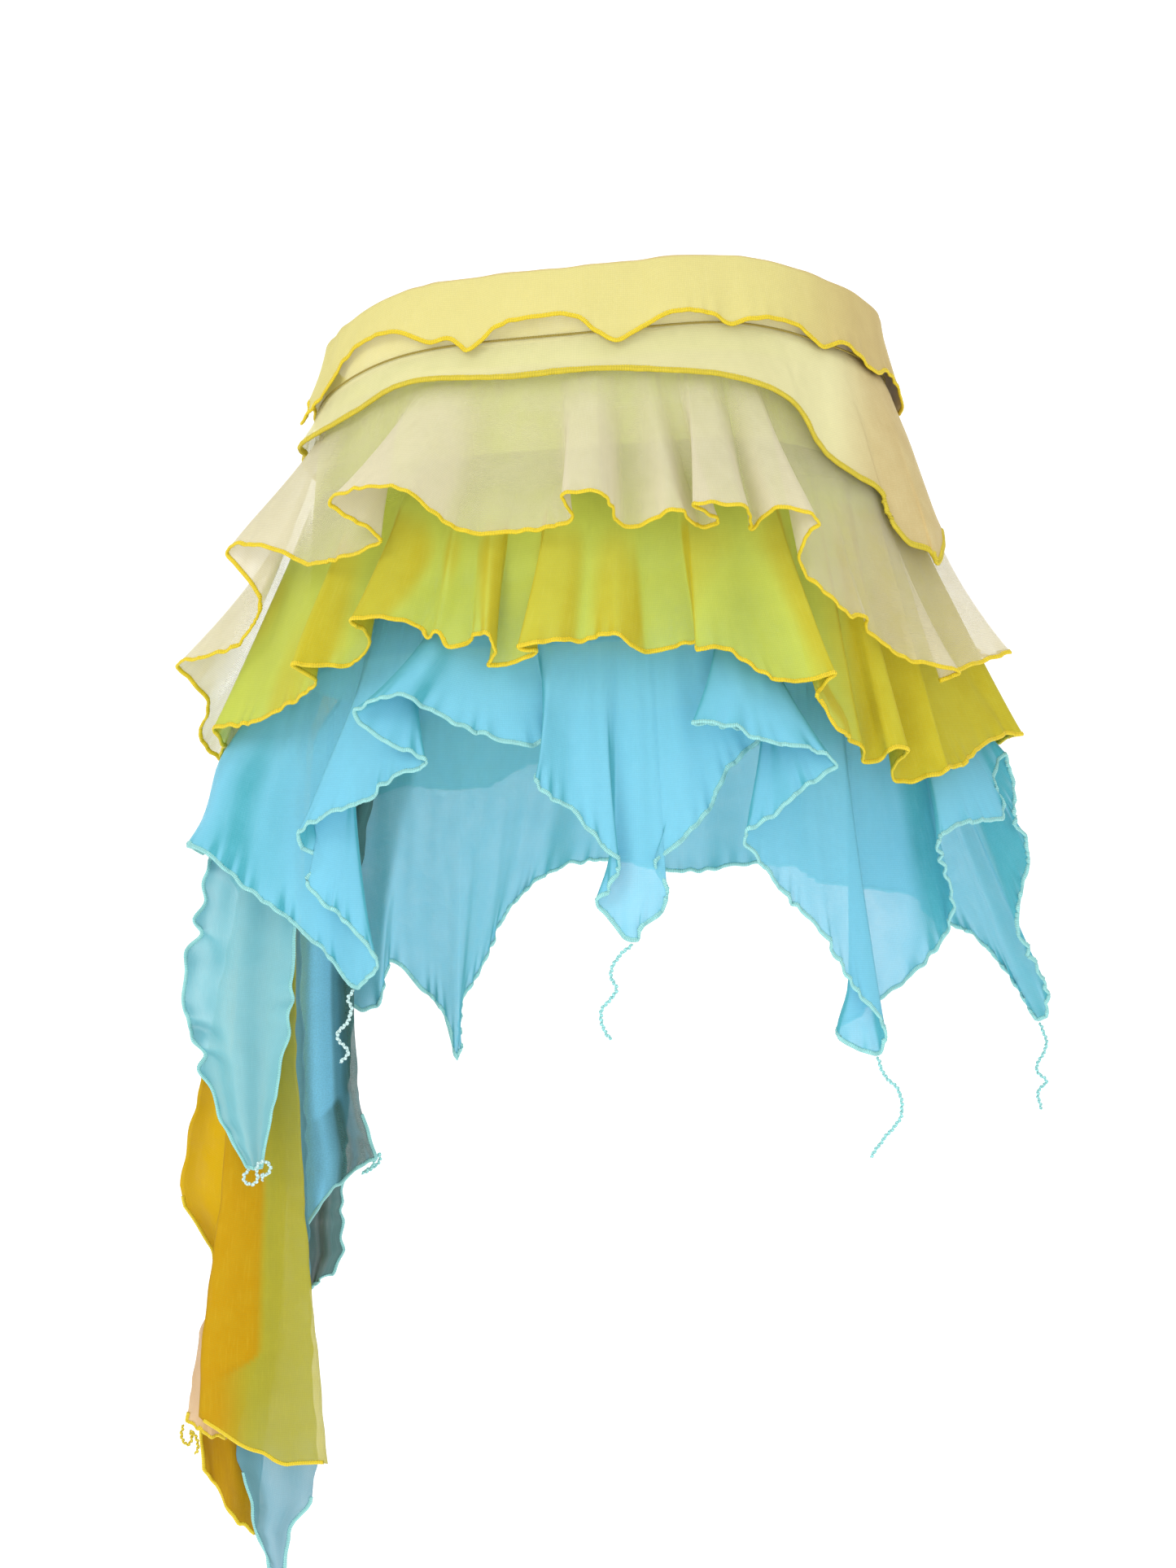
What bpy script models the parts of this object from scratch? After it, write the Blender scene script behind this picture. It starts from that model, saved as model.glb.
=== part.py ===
"""Layered mini ruffle skirt with an uneven hem and a long cascade at the wearer's left side.

The skirt keeps the pose of a worn garment and is hollow. The shown side is the back and faces -Y,
+X is the wearer's right and +Z is up. The origin is the middle of the waist opening.
Bearings are in degrees round the waist: 0 at the shown side, positive toward +X.
Stand-off is the distance from the hip line of the base, and heights are from the origin.
All sizes in the tables are in millimetres and are turned into metres when a point is placed.
"""
import math
from collections import namedtuple

import bmesh
import bpy
import numpy as np

MILLIMETRE = 0.001

# Driving sizes
CLOTH = 1.2
SEAM_GAP = 0.5
BACK_RISE = 26.0
SIDE_RISE = 9.6
TOP_LEVEL = 0.0
BAND_LEVEL = -38.5
BASE_TOP_LEVEL = -39.3
BASE_BOTTOM_LEVEL = -198.0
YOKE_LEVEL = -36.5
TIER_1_LEVEL = -50.0
TIER_2_LEVEL = -96.0
TIER_3_LEVEL = -166.0
CASCADE_LEVEL = -188.0
FLAP_STAND = 3.9
YOKE_STAND = 1.8
SEAM_STAND = CLOTH + SEAM_GAP
THREAD_RADIUS = 0.8

# The seams lose this share of the waist's slope over this drop
SLOPE_LOST = 0.4
SLOPE_DROP = 190.0

# How softly the flap is eased off the overlay, and how far a panel swings off the base as it drops
FLAP_EASING = 0.6
PANEL_SWING = 12.0

# Drop at which a frill curves away from the hips by its own flare, and the bounds of the ratio
FLARE_DROP = 100.0
LEAST_SHARE = 0.85
MOST_SHARE = 1.3

# Columns and rows of each cloth
LONGEST_STEP = 20.0
LEAST_STEPS = 2
PANEL_ROWS = 9
PANEL_COLUMNS = 6

# Hip line of the base: half width and half depth of the oval at each height
Girth = namedtuple("Girth", "height half_width half_depth")
HIPS = (
    Girth(40.0, 156.0, 96.0),
    Girth(0.0, 159.0, 99.0),
    Girth(-60.0, 168.0, 103.0),
    Girth(-110.0, 172.0, 106.0),
    Girth(-160.0, 173.0, 106.0),
)

# A row is one low crest of the waist line, which the seams below it follow
Crest = namedtuple("Crest", "bearing rise sharpness")
CRESTS = (
    Crest(27.0, 6.5, 16.0),
    Crest(-44.0, 4.8, 13.0),
)

# A row is one fold of a hem: where it rises, crests, falls and dips before the next one.
# Each place is (bearing, stand-off, height). A bearing that goes back lies under the crest.
Fold = namedtuple("Fold", "rise crest fall dip")

FLAP_FOLDS = (
    Fold((-92, 6, -40), (-84, 9, -38), (-78, 9, -52), (-71, 6, -38)),
    Fold((-64, 5, -20), (-57, 5, -11), (-45, 7, -7), (-36, 5, -15)),
    Fold((-32, 6, -13), (-29, 6, -17), (-27, 5, -21), (-24, 6, -15)),
    Fold((-21, 7, -8), (-12, 8, -3), (-6, 7, -3), (-1, 5, -13)),
    Fold((2, 5, -17), (5, 5, -13), (9, 7, -6), (14, 8, 0)),
    Fold((21, 7, -1), (25, 5, -6), (30, 7, -2), (41, 5, -4)),
    Fold((47, 5, -15), (54, 7, -11), (60, 6, -17), (66, 6, -25)),
    Fold((75, 7, -22), (81, 9, -27), (86, 11, -37), (92, 10, -42)),
    Fold((100, 7, -38), (108, 7, -44), (116, 6, -52), (124, 8, -46)),
    Fold((133, 7, -50), (143, 6, -59), (153, 8, -52), (163, 7, -55)),
    Fold((172, 6, -64), (181, 8, -57), (191, 7, -58), (201, 6, -66)),
    Fold((211, 8, -56), (221, 7, -57), (231, 6, -62), (241, 8, -50)),
    Fold((250, 7, -48), (256, 6, -54), (261, 8, -46), (265, 7, -42)),
)

YOKE_FOLDS = (
    Fold((-90, 8, -71), (-74, 6, -68), (-60, 5, -58), (-48, 4, -44)),
    Fold((-37, 4, -37), (-19, 4, -37), (0, 4, -33), (12, 4, -34)),
    Fold((22, 4, -36), (32, 6, -44), (37, 8, -54), (39, 10, -66)),
    Fold((42, 12, -77), (49, 15, -88), (55.5, 18, -97), (56, 21, -115)),
    Fold((59, 27, -125), (64, 33, -129), (64, 37, -136), (70, 34, -126)),
    Fold((76, 29, -118), (89, 21, -112), (105, 14, -104), (125, 8, -98)),
    Fold((150, 6, -96), (180, 5, -96), (210, 5, -96), (240, 6, -88)),
)

TIER_1_FOLDS = (
    Fold((-106, 62, -250), (-99, 72, -234), (-93, 62, -215), (-89, 66, -205)),
    Fold((-87, 72, -198), (-84, 78, -192), (-77, 64, -188), (-72, 46, -180)),
    Fold((-69, 38, -156), (-73, 54, -128), (-62, 46, -127), (-54, 30, -138)),
    Fold((-36, 34, -129), (-41, 57, -108), (-29, 62, -102), (-22, 33, -124)),
    Fold((-5, 36, -119), (-6, 50, -108), (-1, 54, -106), (3, 31, -123)),
    Fold((7, 37, -119), (10, 46, -114), (13, 38, -121), (15, 31, -122)),
    Fold((17, 38, -120), (12, 52, -112), (19, 54, -113), (23, 33, -123)),
    Fold((25, 46, -112), (30, 57, -119), (29.5, 47, -129), (30.5, 36, -147)),
    Fold((34, 38, -160), (37, 37, -169), (41, 44, -170), (42, 38, -177)),
    Fold((45, 44, -184), (48, 42, -190), (57, 62, -199), (57.5, 50, -203)),
    Fold((62, 46, -199), (70, 54, -192), (78, 66, -185), (84, 52, -186)),
    Fold((92, 44, -186), (98, 54, -182), (106, 52, -184), (112, 32, -186)),
    Fold((120, 38, -184), (125, 54, -178), (133, 52, -180), (139, 32, -186)),
    Fold((147, 38, -184), (152, 54, -180), (160, 52, -182), (167, 32, -190)),
    Fold((175, 38, -190), (180, 54, -186), (188, 52, -190), (196, 32, -202)),
    Fold((204, 38, -204), (208, 56, -204), (216, 56, -210), (223, 36, -226)),
    Fold((231, 46, -232), (235, 64, -232), (241, 60, -244), (248, 48, -256)),
)

TIER_2_FOLDS = (
    Fold((-84, 50, -238), (-79, 57, -229), (-72, 44, -227), (-64, 38, -222)),
    Fold((-50, 37, -204), (-50, 54, -195), (-46, 38, -196), (-42, 30, -194)),
    Fold((-39, 33, -181), (-38, 51, -172), (-33, 44, -171), (-28.5, 30, -177)),
    Fold((-27, 34, -181), (-25.5, 38, -179), (-23.5, 31, -187), (-21.5, 30, -186)),
    Fold((-20, 35, -181), (-17.5, 42, -180), (-16.5, 36, -190), (-18, 30, -197)),
    Fold((-14, 31, -195), (-10, 37, -190), (-12.5, 45, -188), (-7, 42, -184)),
    Fold((-3.5, 33, -184), (1.5, 40, -181), (4, 37, -187), (6.5, 29, -190)),
    Fold((14, 31, -184), (13, 44, -189), (17, 43, -188), (24, 42, -204)),
    Fold((28, 47, -206), (32.5, 57.5, -202), (31, 44, -214), (33, 35, -232)),
    Fold((37, 39, -236), (41, 42, -241), (43, 36, -249), (45, 41, -248)),
    Fold((44, 52, -242), (46.5, 56, -242), (48.5, 44, -248), (51, 34, -259)),
    Fold((53, 38, -260), (56, 57, -253), (57.5, 44, -251), (60, 40, -252)),
    Fold((63, 43, -251), (71, 46, -241), (79, 56, -233), (84, 72, -232)),
    Fold((89, 58, -234), (94, 44, -238), (101, 54, -232), (109, 50, -234)),
    Fold((116, 32, -240), (124, 38, -236), (128, 54, -230), (136, 52, -232)),
    Fold((144, 32, -240), (152, 38, -236), (156, 54, -232), (164, 52, -236)),
    Fold((172, 32, -246), (180, 38, -244), (184, 54, -242), (192, 52, -248)),
    Fold((201, 32, -262), (209, 38, -264), (213, 56, -262), (221, 54, -270)),
    Fold((229, 42, -286), (238, 50, -290), (243, 62, -286), (250, 60, -290)),
    Fold((257, 44, -282), (263, 48, -264), (268, 54, -247), (272, 50, -240)),
)

TIER_3_FOLDS = (
    Fold((-104, 58, -316), (-96, 64, -304), (-88, 70, -298), (-78, 68, -297)),
    Fold((-74, 60, -304), (-70, 44, -321), (-63, 28, -338), (-54, 20, -357)),
    Fold((-48, 16, -375), (-41, 21, -360), (-47, 27, -336), (-54, 32, -320)),
    Fold((-57, 36, -305), (-55, 40, -293), (-47, 39, -278), (-39, 38, -271)),
    Fold((-33, 38, -257), (-27, 40, -250), (-32, 45, -240), (-37, 49, -228)),
    Fold((-37, 53, -222), (-30, 50, -213), (-27, 38, -221), (-20, 31, -233)),
    Fold((-12, 25, -240), (-7.5, 20.5, -237), (-9, 36.5, -251), (-9.5, 46, -262)),
    Fold((-5, 37, -275), (-1, 38, -292), (2, 38, -304), (1, 36, -318)),
    Fold((1, 31, -332), (4, 37, -346), (9, 34, -326), (9.5, 31, -309)),
    Fold((13, 29, -288), (17, 25, -273), (18.5, 23, -262), (21, 21.5, -250)),
    Fold((26, 21, -236), (12, 47, -228), (16, 52, -229), (22, 55, -238)),
    Fold((30, 57, -244), (33, 56, -251), (29, 51, -262), (24, 47, -279)),
    Fold((20, 44, -288), (23, 39, -302), (28, 37, -322), (35, 35, -343)),
    Fold((41, 34, -371), (48, 36, -398), (48.5, 29.5, -412), (44.5, 21, -403)),
    Fold((52, 13, -388), (64, 20, -371), (68, 35, -350), (64, 46, -330)),
    Fold((57, 50, -292), (65, 54, -283), (79, 63, -278), (82, 56, -256)),
    Fold((85, 62, -245), (87, 68, -262), (86, 68, -280), (89, 77, -300)),
    Fold((91, 72, -344), (94, 92, -387), (97, 90, -403), (100, 74, -375)),
    Fold((105, 58, -352), (113, 44, -342), (121, 52, -330), (130, 40, -326)),
    Fold((138, 30, -322), (146, 46, -314), (154, 44, -312), (162, 28, -316)),
    Fold((170, 30, -316), (177, 44, -310), (185, 40, -312), (192, 26, -322)),
    Fold((198, 30, -345), (202, 28, -374), (207, 24, -402), (208, 22, -436)),
    Fold((211, 24, -404), (216, 28, -386), (221, 30, -372), (226, 24, -402)),
    Fold((232, 34, -385), (238, 44, -362), (244, 52, -345), (250, 56, -330)),
)

# A row is one gathered tube of cloth, from the base outward. Its reach is how many height steps
# of the layers beneath it clears.
Tier = namedtuple("Tier", "name folds level stand rows spread flare hang turn easing reach")
TIERS = (
    Tier("tier_3", TIER_3_FOLDS, TIER_3_LEVEL, SEAM_STAND, 4, 110.0, 1.1, 0.0, 1.7, 1.5, 3),
    Tier("tier_2", TIER_2_FOLDS, TIER_2_LEVEL, SEAM_STAND, 4, 70.0, 1.1, 0.0, 1.2, 1.5, 3),
    Tier("tier_1", TIER_1_FOLDS, TIER_1_LEVEL, SEAM_STAND, 4, 70.0, 1.4, 1.0, 1.2, 1.5, 3),
    Tier("yoke", YOKE_FOLDS, YOKE_LEVEL, YOKE_STAND, 3, 60.0, 1.0, 0.0, 1.0, 1.0, 1),
)
TUBES = (
    ("base", "base_tube", "mint"),
    ("tier_3", "tier_3_aqua", "aqua"),
    ("tier_2", "tier_2_gold", "gold"),
    ("tier_1", "tier_1_ivory", "ivory"),
    ("yoke", "yoke_overlay", "lime"),
    ("band", "waistband", "butter"),
)

# A row is one level of a hanging panel: its two side edges in plan and how deep its folds are
Level = namedtuple("Level", "height left_x left_y right_x right_y depth")
Panel = namedtuple("Panel", "name material seam_from seam_to waves phase hem levels")

# The hem of a panel is its height at the left edge, at a third, at two thirds and at the right
CASCADE = (
    Panel("cascade_petal", "aqua", -86, -72, 1.5, 0.10, (-486, -487, -487, -486), (
        Level(-240, -206, -14, -181, -12, 3.0),
        Level(-305, -231, -12, -181, -9, 8.5),
        Level(-346, -240, -12, -180, -8, 9.0),
        Level(-395, -247, -11, -184, -8, 9.0),
        Level(-422, -236, -10, -188, -8, 8.5),
        Level(-454, -227, -9, -194, -8, 6.8),
        Level(-486, -210, -8, -201, -8, 1.7),
    )),
    Panel("cascade_gold_front", "gold", -92, -88, 1.0, 0.60, (-636, -654, -667, -664), (
        Level(-240, -199, 5, -180, 4, 2.0),
        Level(-330, -214, 12, -182, 10, 5.1),
        Level(-420, -221, 13, -183, 12, 6.8),
        Level(-505, -227, 13, -178, 12, 6.8),
        Level(-541, -232, 13, -175, 12, 6.8),
        Level(-597, -239, 13, -170, 12, 8.5),
        Level(-667, -241, 13, -164, 12, 9.0),
    )),
    Panel("cascade_ivory", "ivory", -94, -99, 1.0, 0.20, (-644, -648, -652, -654), (
        Level(-240, -204, 17, -186, 16, 2.0),
        Level(-330, -214, 24, -190, 23, 5.1),
        Level(-480, -221, 25, -199, 24, 5.1),
        Level(-560, -229, 26, -208, 25, 5.1),
        Level(-590, -243, 26, -216, 25, 5.1),
        Level(-654, -252, 27, -226, 25, 5.1),
    )),
    Panel("cascade_aqua_tail", "aqua", -101, -107, 1.0, 0.30, (-735, -737, -737, -735), (
        Level(-240, -194, 29, -178, 28, 2.0),
        Level(-330, -208, 37, -184, 36, 5.1),
        Level(-500, -203, 38, -179, 36, 6.8),
        Level(-600, -206, 38, -176, 36, 8.5),
        Level(-654, -223, 38, -174, 36, 9.0),
        Level(-672, -221, 38, -173, 36, 9.0),
        Level(-697, -213, 38, -178, 36, 8.5),
        Level(-712, -210, 37, -190, 36, 5.1),
        Level(-737, -200, 36, -192, 36, 1.7),
    )),
    Panel("cascade_gold_back", "gold", -109, -115, 1.5, 0.00, (-678, -700, -712, -718), (
        Level(-240, -196, 42, -176, 41, 3.0),
        Level(-330, -222, 50, -184, 49, 6.8),
        Level(-434, -243, 51, -188, 50, 8.5),
        Level(-482, -254, 52, -190, 50, 8.5),
        Level(-505, -258, 52, -192, 50, 8.5),
        Level(-518, -255, 52, -193, 50, 8.5),
        Level(-545, -238, 52, -194, 50, 8.5),
        Level(-600, -238, 52, -198, 50, 8.5),
        Level(-652, -246, 52, -205, 50, 6.8),
        Level(-718, -240, 52, -211, 50, 3.4),
    )),
    Panel("cascade_aqua_side", "aqua", -117, -126, 1.5, 0.35, (-532, -516, -502, -490), (
        Level(-240, -178, 64, -150, 66, 4.0),
        Level(-300, -186, 64, -155, 68, 9.0),
        Level(-392, -190, 65, -153, 68, 9.0),
        Level(-454, -189, 65, -150, 68, 9.0),
        Level(-490, -186, 65, -140, 68, 6.8),
        Level(-532, -182, 65, -150, 68, 5.1),
    )),
    Panel("cascade_aqua_under", "aqua", -128, -136, 2.0, 0.20, (-584, -578, -572, -566), (
        Level(-240, -164, 82, -140, 84, 3.0),
        Level(-330, -180, 82, -152, 85, 6.8),
        Level(-480, -194, 82, -160, 85, 8.5),
        Level(-535, -196, 82, -163, 85, 8.5),
        Level(-552, -194, 82, -162, 85, 8.5),
        Level(-584, -190, 82, -180, 85, 5.1),
    )),
)

# A row is one thread tail: where it leaves a hem point, and how it swings on the way down
Swing = namedtuple("Swing", "side front drop")
Thread = namedtuple("Thread", "name bearing stand height swings")
THREADS = (
    Thread("thread_tail_left", -48, 16, -375, (
        Swing(0, 0, 0.9), Swing(-3, -2, 6), Swing(-1, -4, 12), Swing(-4, -2, 20),
        Swing(-9, 0, 25), Swing(-8, 0, 30), Swing(-3, 0, 36), Swing(-8, 0, 42),
    )),
    Thread("thread_tail_middle", 4, 38, -346, (
        Swing(0, 0, 0.8), Swing(-8, -1, 8), Swing(-12, -1, 17), Swing(-9, -1, 26),
        Swing(-17, 0, 37), Swing(-15, 0, 48), Swing(-11, 0, 52),
    )),
    Thread("thread_tail_right", 48.5, 29.5, -412, (
        Swing(0, 0, 0.6), Swing(4, 0, 11), Swing(12, -1, 20), Swing(13, -1, 34),
        Swing(4, 0, 46), Swing(-4, 0, 57),
    )),
    Thread("thread_tail_side", 97, 90, -403, (
        Swing(0, 0, 0.6), Swing(4, 0, 14), Swing(-2, 0, 28), Swing(4, 0, 36),
        Swing(-1, 0, 42), Swing(1, 0, 53),
    )),
)

COLOURS = {
    "butter": (0.94, 0.86, 0.40, 1.0),
    "lime": (0.82, 0.84, 0.46, 1.0),
    "ivory": (0.84, 0.76, 0.60, 1.0),
    "gold": (0.82, 0.55, 0.02, 1.0),
    "aqua": (0.20, 0.63, 0.80, 1.0),
    "mint": (0.60, 0.84, 0.76, 1.0),
}


def hip_sizes(heights):
    levels = [row.height for row in reversed(HIPS)]
    widths = np.interp(heights, levels, [row.half_width for row in reversed(HIPS)])
    depths = np.interp(heights, levels, [row.half_depth for row in reversed(HIPS)])
    return widths, depths


def place(skin):
    """Turn (bearing, stand-off, height) into x, y, z, all in millimetres."""
    widths, depths = hip_sizes(skin[..., 2])
    angles = np.radians(skin[..., 0])
    x = (widths + skin[..., 1]) * np.sin(angles)
    y = -(depths + skin[..., 1]) * np.cos(angles)
    return np.stack((x, y, skin[..., 2]), axis=-1)


def unplace(points):
    """Turn x, y, z back into (bearing, stand-off, height)."""
    widths, depths = hip_sizes(points[..., 2])
    low = np.full(widths.shape, -60.0)
    high = np.full(widths.shape, 400.0)
    for _ in range(40):
        middle = (low + high) * 0.5
        reach = (points[..., 0] / (widths + middle)) ** 2
        reach = reach + (points[..., 1] / (depths + middle)) ** 2
        low = np.where(reach > 1.0, middle, low)
        high = np.where(reach > 1.0, high, middle)
    across = points[..., 0] / (widths + low)
    along = -points[..., 1] / (depths + low)
    return np.stack((np.degrees(np.arctan2(across, along)), low, points[..., 2]), axis=-1)


def waist_rise(bearings):
    """Height of the sloping waist, with the low crests that the top fold makes over the hips."""
    angles = np.radians(bearings)
    rise = BACK_RISE * np.cos(angles) + SIDE_RISE * np.sin(angles)
    for crest in CRESTS:
        nearness = np.cos(angles - math.radians(crest.bearing)) - 1.0
        rise = rise + crest.rise * np.exp(crest.sharpness * nearness)
    return rise


def seam_height(bearings, level):
    """Height of a seam: it follows the sloping waist less and less further down."""
    share = 1.0 + SLOPE_LOST * (level - TOP_LEVEL) / SLOPE_DROP
    return level + waist_rise(bearings) * share


def fold_points(folds):
    return np.array([point for fold in folds for point in fold], dtype=float)


def smooth_loop(points, least, longest):
    """Closed curve through the points, with more steps where they are far apart."""
    count = len(points)
    turn = np.array((360.0, 0.0, 0.0))
    scale = np.array((3.0, 1.0, 1.0))
    around = [points[i % count] + turn * (i // count) for i in range(-1, count + 2)]
    gaps = [np.linalg.norm((b - a) * scale) for a, b in zip(around, around[1:])]
    knots = [math.sqrt(max(gap, 1e-6)) for gap in gaps]
    result = []
    for i in range(count):
        before, start, end, after = around[i:i + 4]
        k0, k1, k2 = knots[i:i + 3]
        slope_0 = ((start - before) / k0 * k1 + (end - start) / k1 * k0) / (k0 + k1) * k1
        slope_1 = ((end - start) / k1 * k2 + (after - end) / k2 * k1) / (k1 + k2) * k1
        steps = max(least, math.ceil(gaps[i + 1] / longest))
        for step in range(steps):
            s = step / steps
            value = start * (2 * s ** 3 - 3 * s ** 2 + 1) + end * (3 * s ** 2 - 2 * s ** 3)
            value = value + slope_0 * (s ** 3 - 2 * s ** 2 + s) + slope_1 * (s ** 3 - s ** 2)
            result.append(value)
    return np.array(result)


def gathered_bearings(hem, spread):
    """Bearings along the seam: the strip's length is gathered evenly but follows the hem."""
    points = place(hem)
    steps = np.linalg.norm(np.roll(points, -1, axis=0) - points, axis=1)
    run = np.concatenate(((0.0,), np.cumsum(steps)))
    whole = run[-1]
    trend = 360.0 * run[:-1] / whole
    offset = hem[:, 0] - trend
    away = np.abs(run[:-1][:, None] - run[:-1][None, :])
    away = np.minimum(away, whole - away)
    weights = np.exp(-0.5 * (away / spread) ** 2) * steps[None, :]
    even = trend + (weights * offset[None, :]).sum(axis=1) / weights.sum(axis=1)
    growth = np.diff(np.concatenate((even, (even[0] + 360.0,))))
    growth = np.maximum(growth, 0.3 * 360.0 * steps / whole)
    growth = growth * 360.0 / growth.sum()
    seam = np.concatenate(((0.0,), np.cumsum(growth)[:-1]))
    return seam + (hem[:, 0] - seam).mean()


class Cover:
    """Largest stand-off of the layers beneath, by bearing and height."""

    BEARING_STEP = 2.5
    HEIGHT_STEP = 5.0
    BEARING_REACH = 2
    TOP = 60.0

    def __init__(self):
        self.reach = np.zeros((144, 170))

    def add(self, skin, wrap):
        rows = skin if not wrap else np.concatenate((skin, skin[:, :1] + (360.0, 0, 0)), axis=1)
        for s in np.linspace(0.0, 1.0, 9):
            down = rows[:-1] * (1.0 - s) + rows[1:] * s
            for t in np.linspace(0.0, 1.0, 7):
                some = down[:, :-1] * (1.0 - t) + down[:, 1:] * t
                i = np.round(some[..., 0] / self.BEARING_STEP).astype(int) % 144
                j = np.round((self.TOP - some[..., 2]) / self.HEIGHT_STEP).astype(int)
                j = np.clip(j, 0, 169)
                np.maximum.at(self.reach, (i, j), some[..., 1])

    def smooth(self, height_reach):
        wide = self.reach
        for _ in range(self.BEARING_REACH):
            wide = np.maximum(wide, np.maximum(np.roll(wide, 1, axis=0), np.roll(wide, -1, axis=0)))
        for _ in range(height_reach):
            near = wide.copy()
            near[:, 1:] = np.maximum(near[:, 1:], wide[:, :-1])
            near[:, :-1] = np.maximum(near[:, :-1], wide[:, 1:])
            wide = near
        return (wide + np.roll(wide, 1, axis=0) + np.roll(wide, -1, axis=0)) / 3.0

    def lift(self, skin, easing, height_reach):
        """Push a layer out so that it clears the layers beneath by cloth and gap."""
        field = self.smooth(height_reach)
        i = skin[..., 0] / self.BEARING_STEP
        j = np.clip((self.TOP - skin[..., 2]) / self.HEIGHT_STEP, 0.0, 168.999)
        i_0 = np.floor(i).astype(int)
        j_0 = np.floor(j).astype(int)
        s = i - i_0
        t = j - j_0
        here = field[i_0 % 144, j_0] * (1 - s) * (1 - t) + field[(i_0 + 1) % 144, j_0] * s * (1 - t)
        here = here + field[i_0 % 144, j_0 + 1] * (1 - s) * t
        here = here + field[(i_0 + 1) % 144, j_0 + 1] * s * t
        floor = here + CLOTH + SEAM_GAP
        over = np.clip((skin[..., 1] - floor) / easing, -30.0, 30.0)
        lifted = floor + np.log1p(np.exp(over)) * easing
        out = np.where(here > 0.01, np.maximum(lifted, skin[..., 1]), skin[..., 1])
        out[0] = skin[0, :, 1]
        return np.stack((skin[..., 0], out, skin[..., 2]), axis=-1)


def tier_skin(folds, level, stand, rows, least, longest, spread, flare, hang, turn):
    """Sheet from a gathered seam to a folded hem, as rows of skin positions.

    With hang, the cloth stays close for longer before it flares where it drops further.
    """
    hem = smooth_loop(fold_points(folds), least, longest)
    seam = gathered_bearings(hem, spread)
    top = seam_height(seam, level)
    bend = flare * np.clip((top - hem[:, 2]) / FLARE_DROP, LEAST_SHARE, MOST_SHARE) ** hang
    result = []
    for row in range(rows + 1):
        t = row / rows
        bearing = seam + (hem[:, 0] - seam) * t ** turn
        out = stand + (hem[:, 1] - stand) * t ** bend
        height = top * (1.0 - t) + hem[:, 2] * t
        result.append(np.stack((bearing, out, height), axis=-1))
    return np.array(result)


def band_skin(folds, least, longest):
    """Inner wall up, over the top fold and down the outer flap to its wavy edge."""
    hem = smooth_loop(fold_points(folds), least, longest)
    bearing = hem[:, 0]
    rise = waist_rise(bearing)
    flat = np.zeros(len(bearing))
    rows = (
        (flat, seam_height(bearing, BAND_LEVEL)),
        (flat, TOP_LEVEL + rise - 1.6),
        (flat + FLAP_STAND * 0.5, TOP_LEVEL + rise),
        (flat + FLAP_STAND, TOP_LEVEL + rise - 1.6),
        (flat * 0.5 + FLAP_STAND * 0.6 + hem[:, 1] * 0.4, (TOP_LEVEL + rise + hem[:, 2]) * 0.5),
        (hem[:, 1], hem[:, 2]),
    )
    return np.array([np.stack((bearing, out, height), axis=-1) for out, height in rows])


def tube_skin(level_top, level_bottom, columns, rows):
    bearing = np.arange(columns) * 360.0 / columns
    result = []
    for row in range(rows + 1):
        t = row / rows
        height = seam_height(bearing, level_top) * (1 - t) + seam_height(bearing, level_bottom) * t
        result.append(np.stack((bearing, bearing * 0.0, height), axis=-1))
    return np.array(result)


def panel_points(panel, rows, columns):
    """Hanging panel: starts gathered on the base and widens through its levels to its hem."""
    levels = [row.height for row in reversed(panel.levels)]
    u = np.linspace(0.0, 1.0, columns + 1)
    seam = panel.seam_from + (panel.seam_to - panel.seam_from) * u
    top = np.stack((seam, seam * 0.0 + SEAM_STAND, seam_height(seam, CASCADE_LEVEL)), axis=-1)
    hem = np.interp(u, (0.0, 1 / 3, 2 / 3, 1.0), panel.hem)
    result = []
    for row in range(rows + 1):
        t = row / rows
        height = top[:, 2] * (1.0 - t) + hem * t
        edges = []
        for field in ("left_x", "left_y", "right_x", "right_y", "depth"):
            values = [getattr(item, field) for item in reversed(panel.levels)]
            edges.append(np.interp(height, levels, values))
        left_x, left_y, right_x, right_y, depth = edges
        x = left_x * (1.0 - u) + right_x * u
        wave = np.sin(2.0 * math.pi * (panel.waves * u + panel.phase))
        y = left_y * (1.0 - u) + right_y * u + depth * wave * 0.5 * min(1.0, t * 3.0)
        hang = np.stack((x, y, height), axis=-1)
        along = place(np.stack((top[:, 0], top[:, 1] + PANEL_SWING * t, height), axis=-1))
        first = panel.levels[0].height
        share = np.clip((top[:, 2] - height) / (top[:, 2] - first), 0.0, 1.0)[:, None]
        share = share * share * (3.0 - 2.0 * share)
        result.append(along * (1.0 - share) + hang * share)
    return np.array(result)


def smooth_path(points, steps):
    """Open curve through a few points."""
    points = [np.array(point, dtype=float) for point in points]
    points = [points[0] * 2 - points[1]] + points + [points[-1] * 2 - points[-2]]
    result = []
    for i in range(1, len(points) - 2):
        a, b, c, d = points[i - 1:i + 3]
        for step in range(steps):
            s = step / steps
            value = b * 2 + (c - a) * s + (a * 2 - b * 5 + c * 4 - d) * s ** 2
            value = value + (b * 3 - a - c * 3 + d) * s ** 3
            result.append(value * 0.5)
    result.append(points[-2])
    return result


def clear_scene():
    for item in list(bpy.data.objects):
        bpy.data.objects.remove(item, do_unlink=True)


def make_collection(name):
    collection = bpy.data.collections.new(name)
    bpy.context.scene.collection.children.link(collection)
    return collection


def make_material(name, colour):
    material = bpy.data.materials.new(name)
    material.use_nodes = True
    shader = material.node_tree.nodes["Principled BSDF"]
    shader.inputs["Base Color"].default_value = colour
    shader.inputs["Roughness"].default_value = 0.75
    return material


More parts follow.
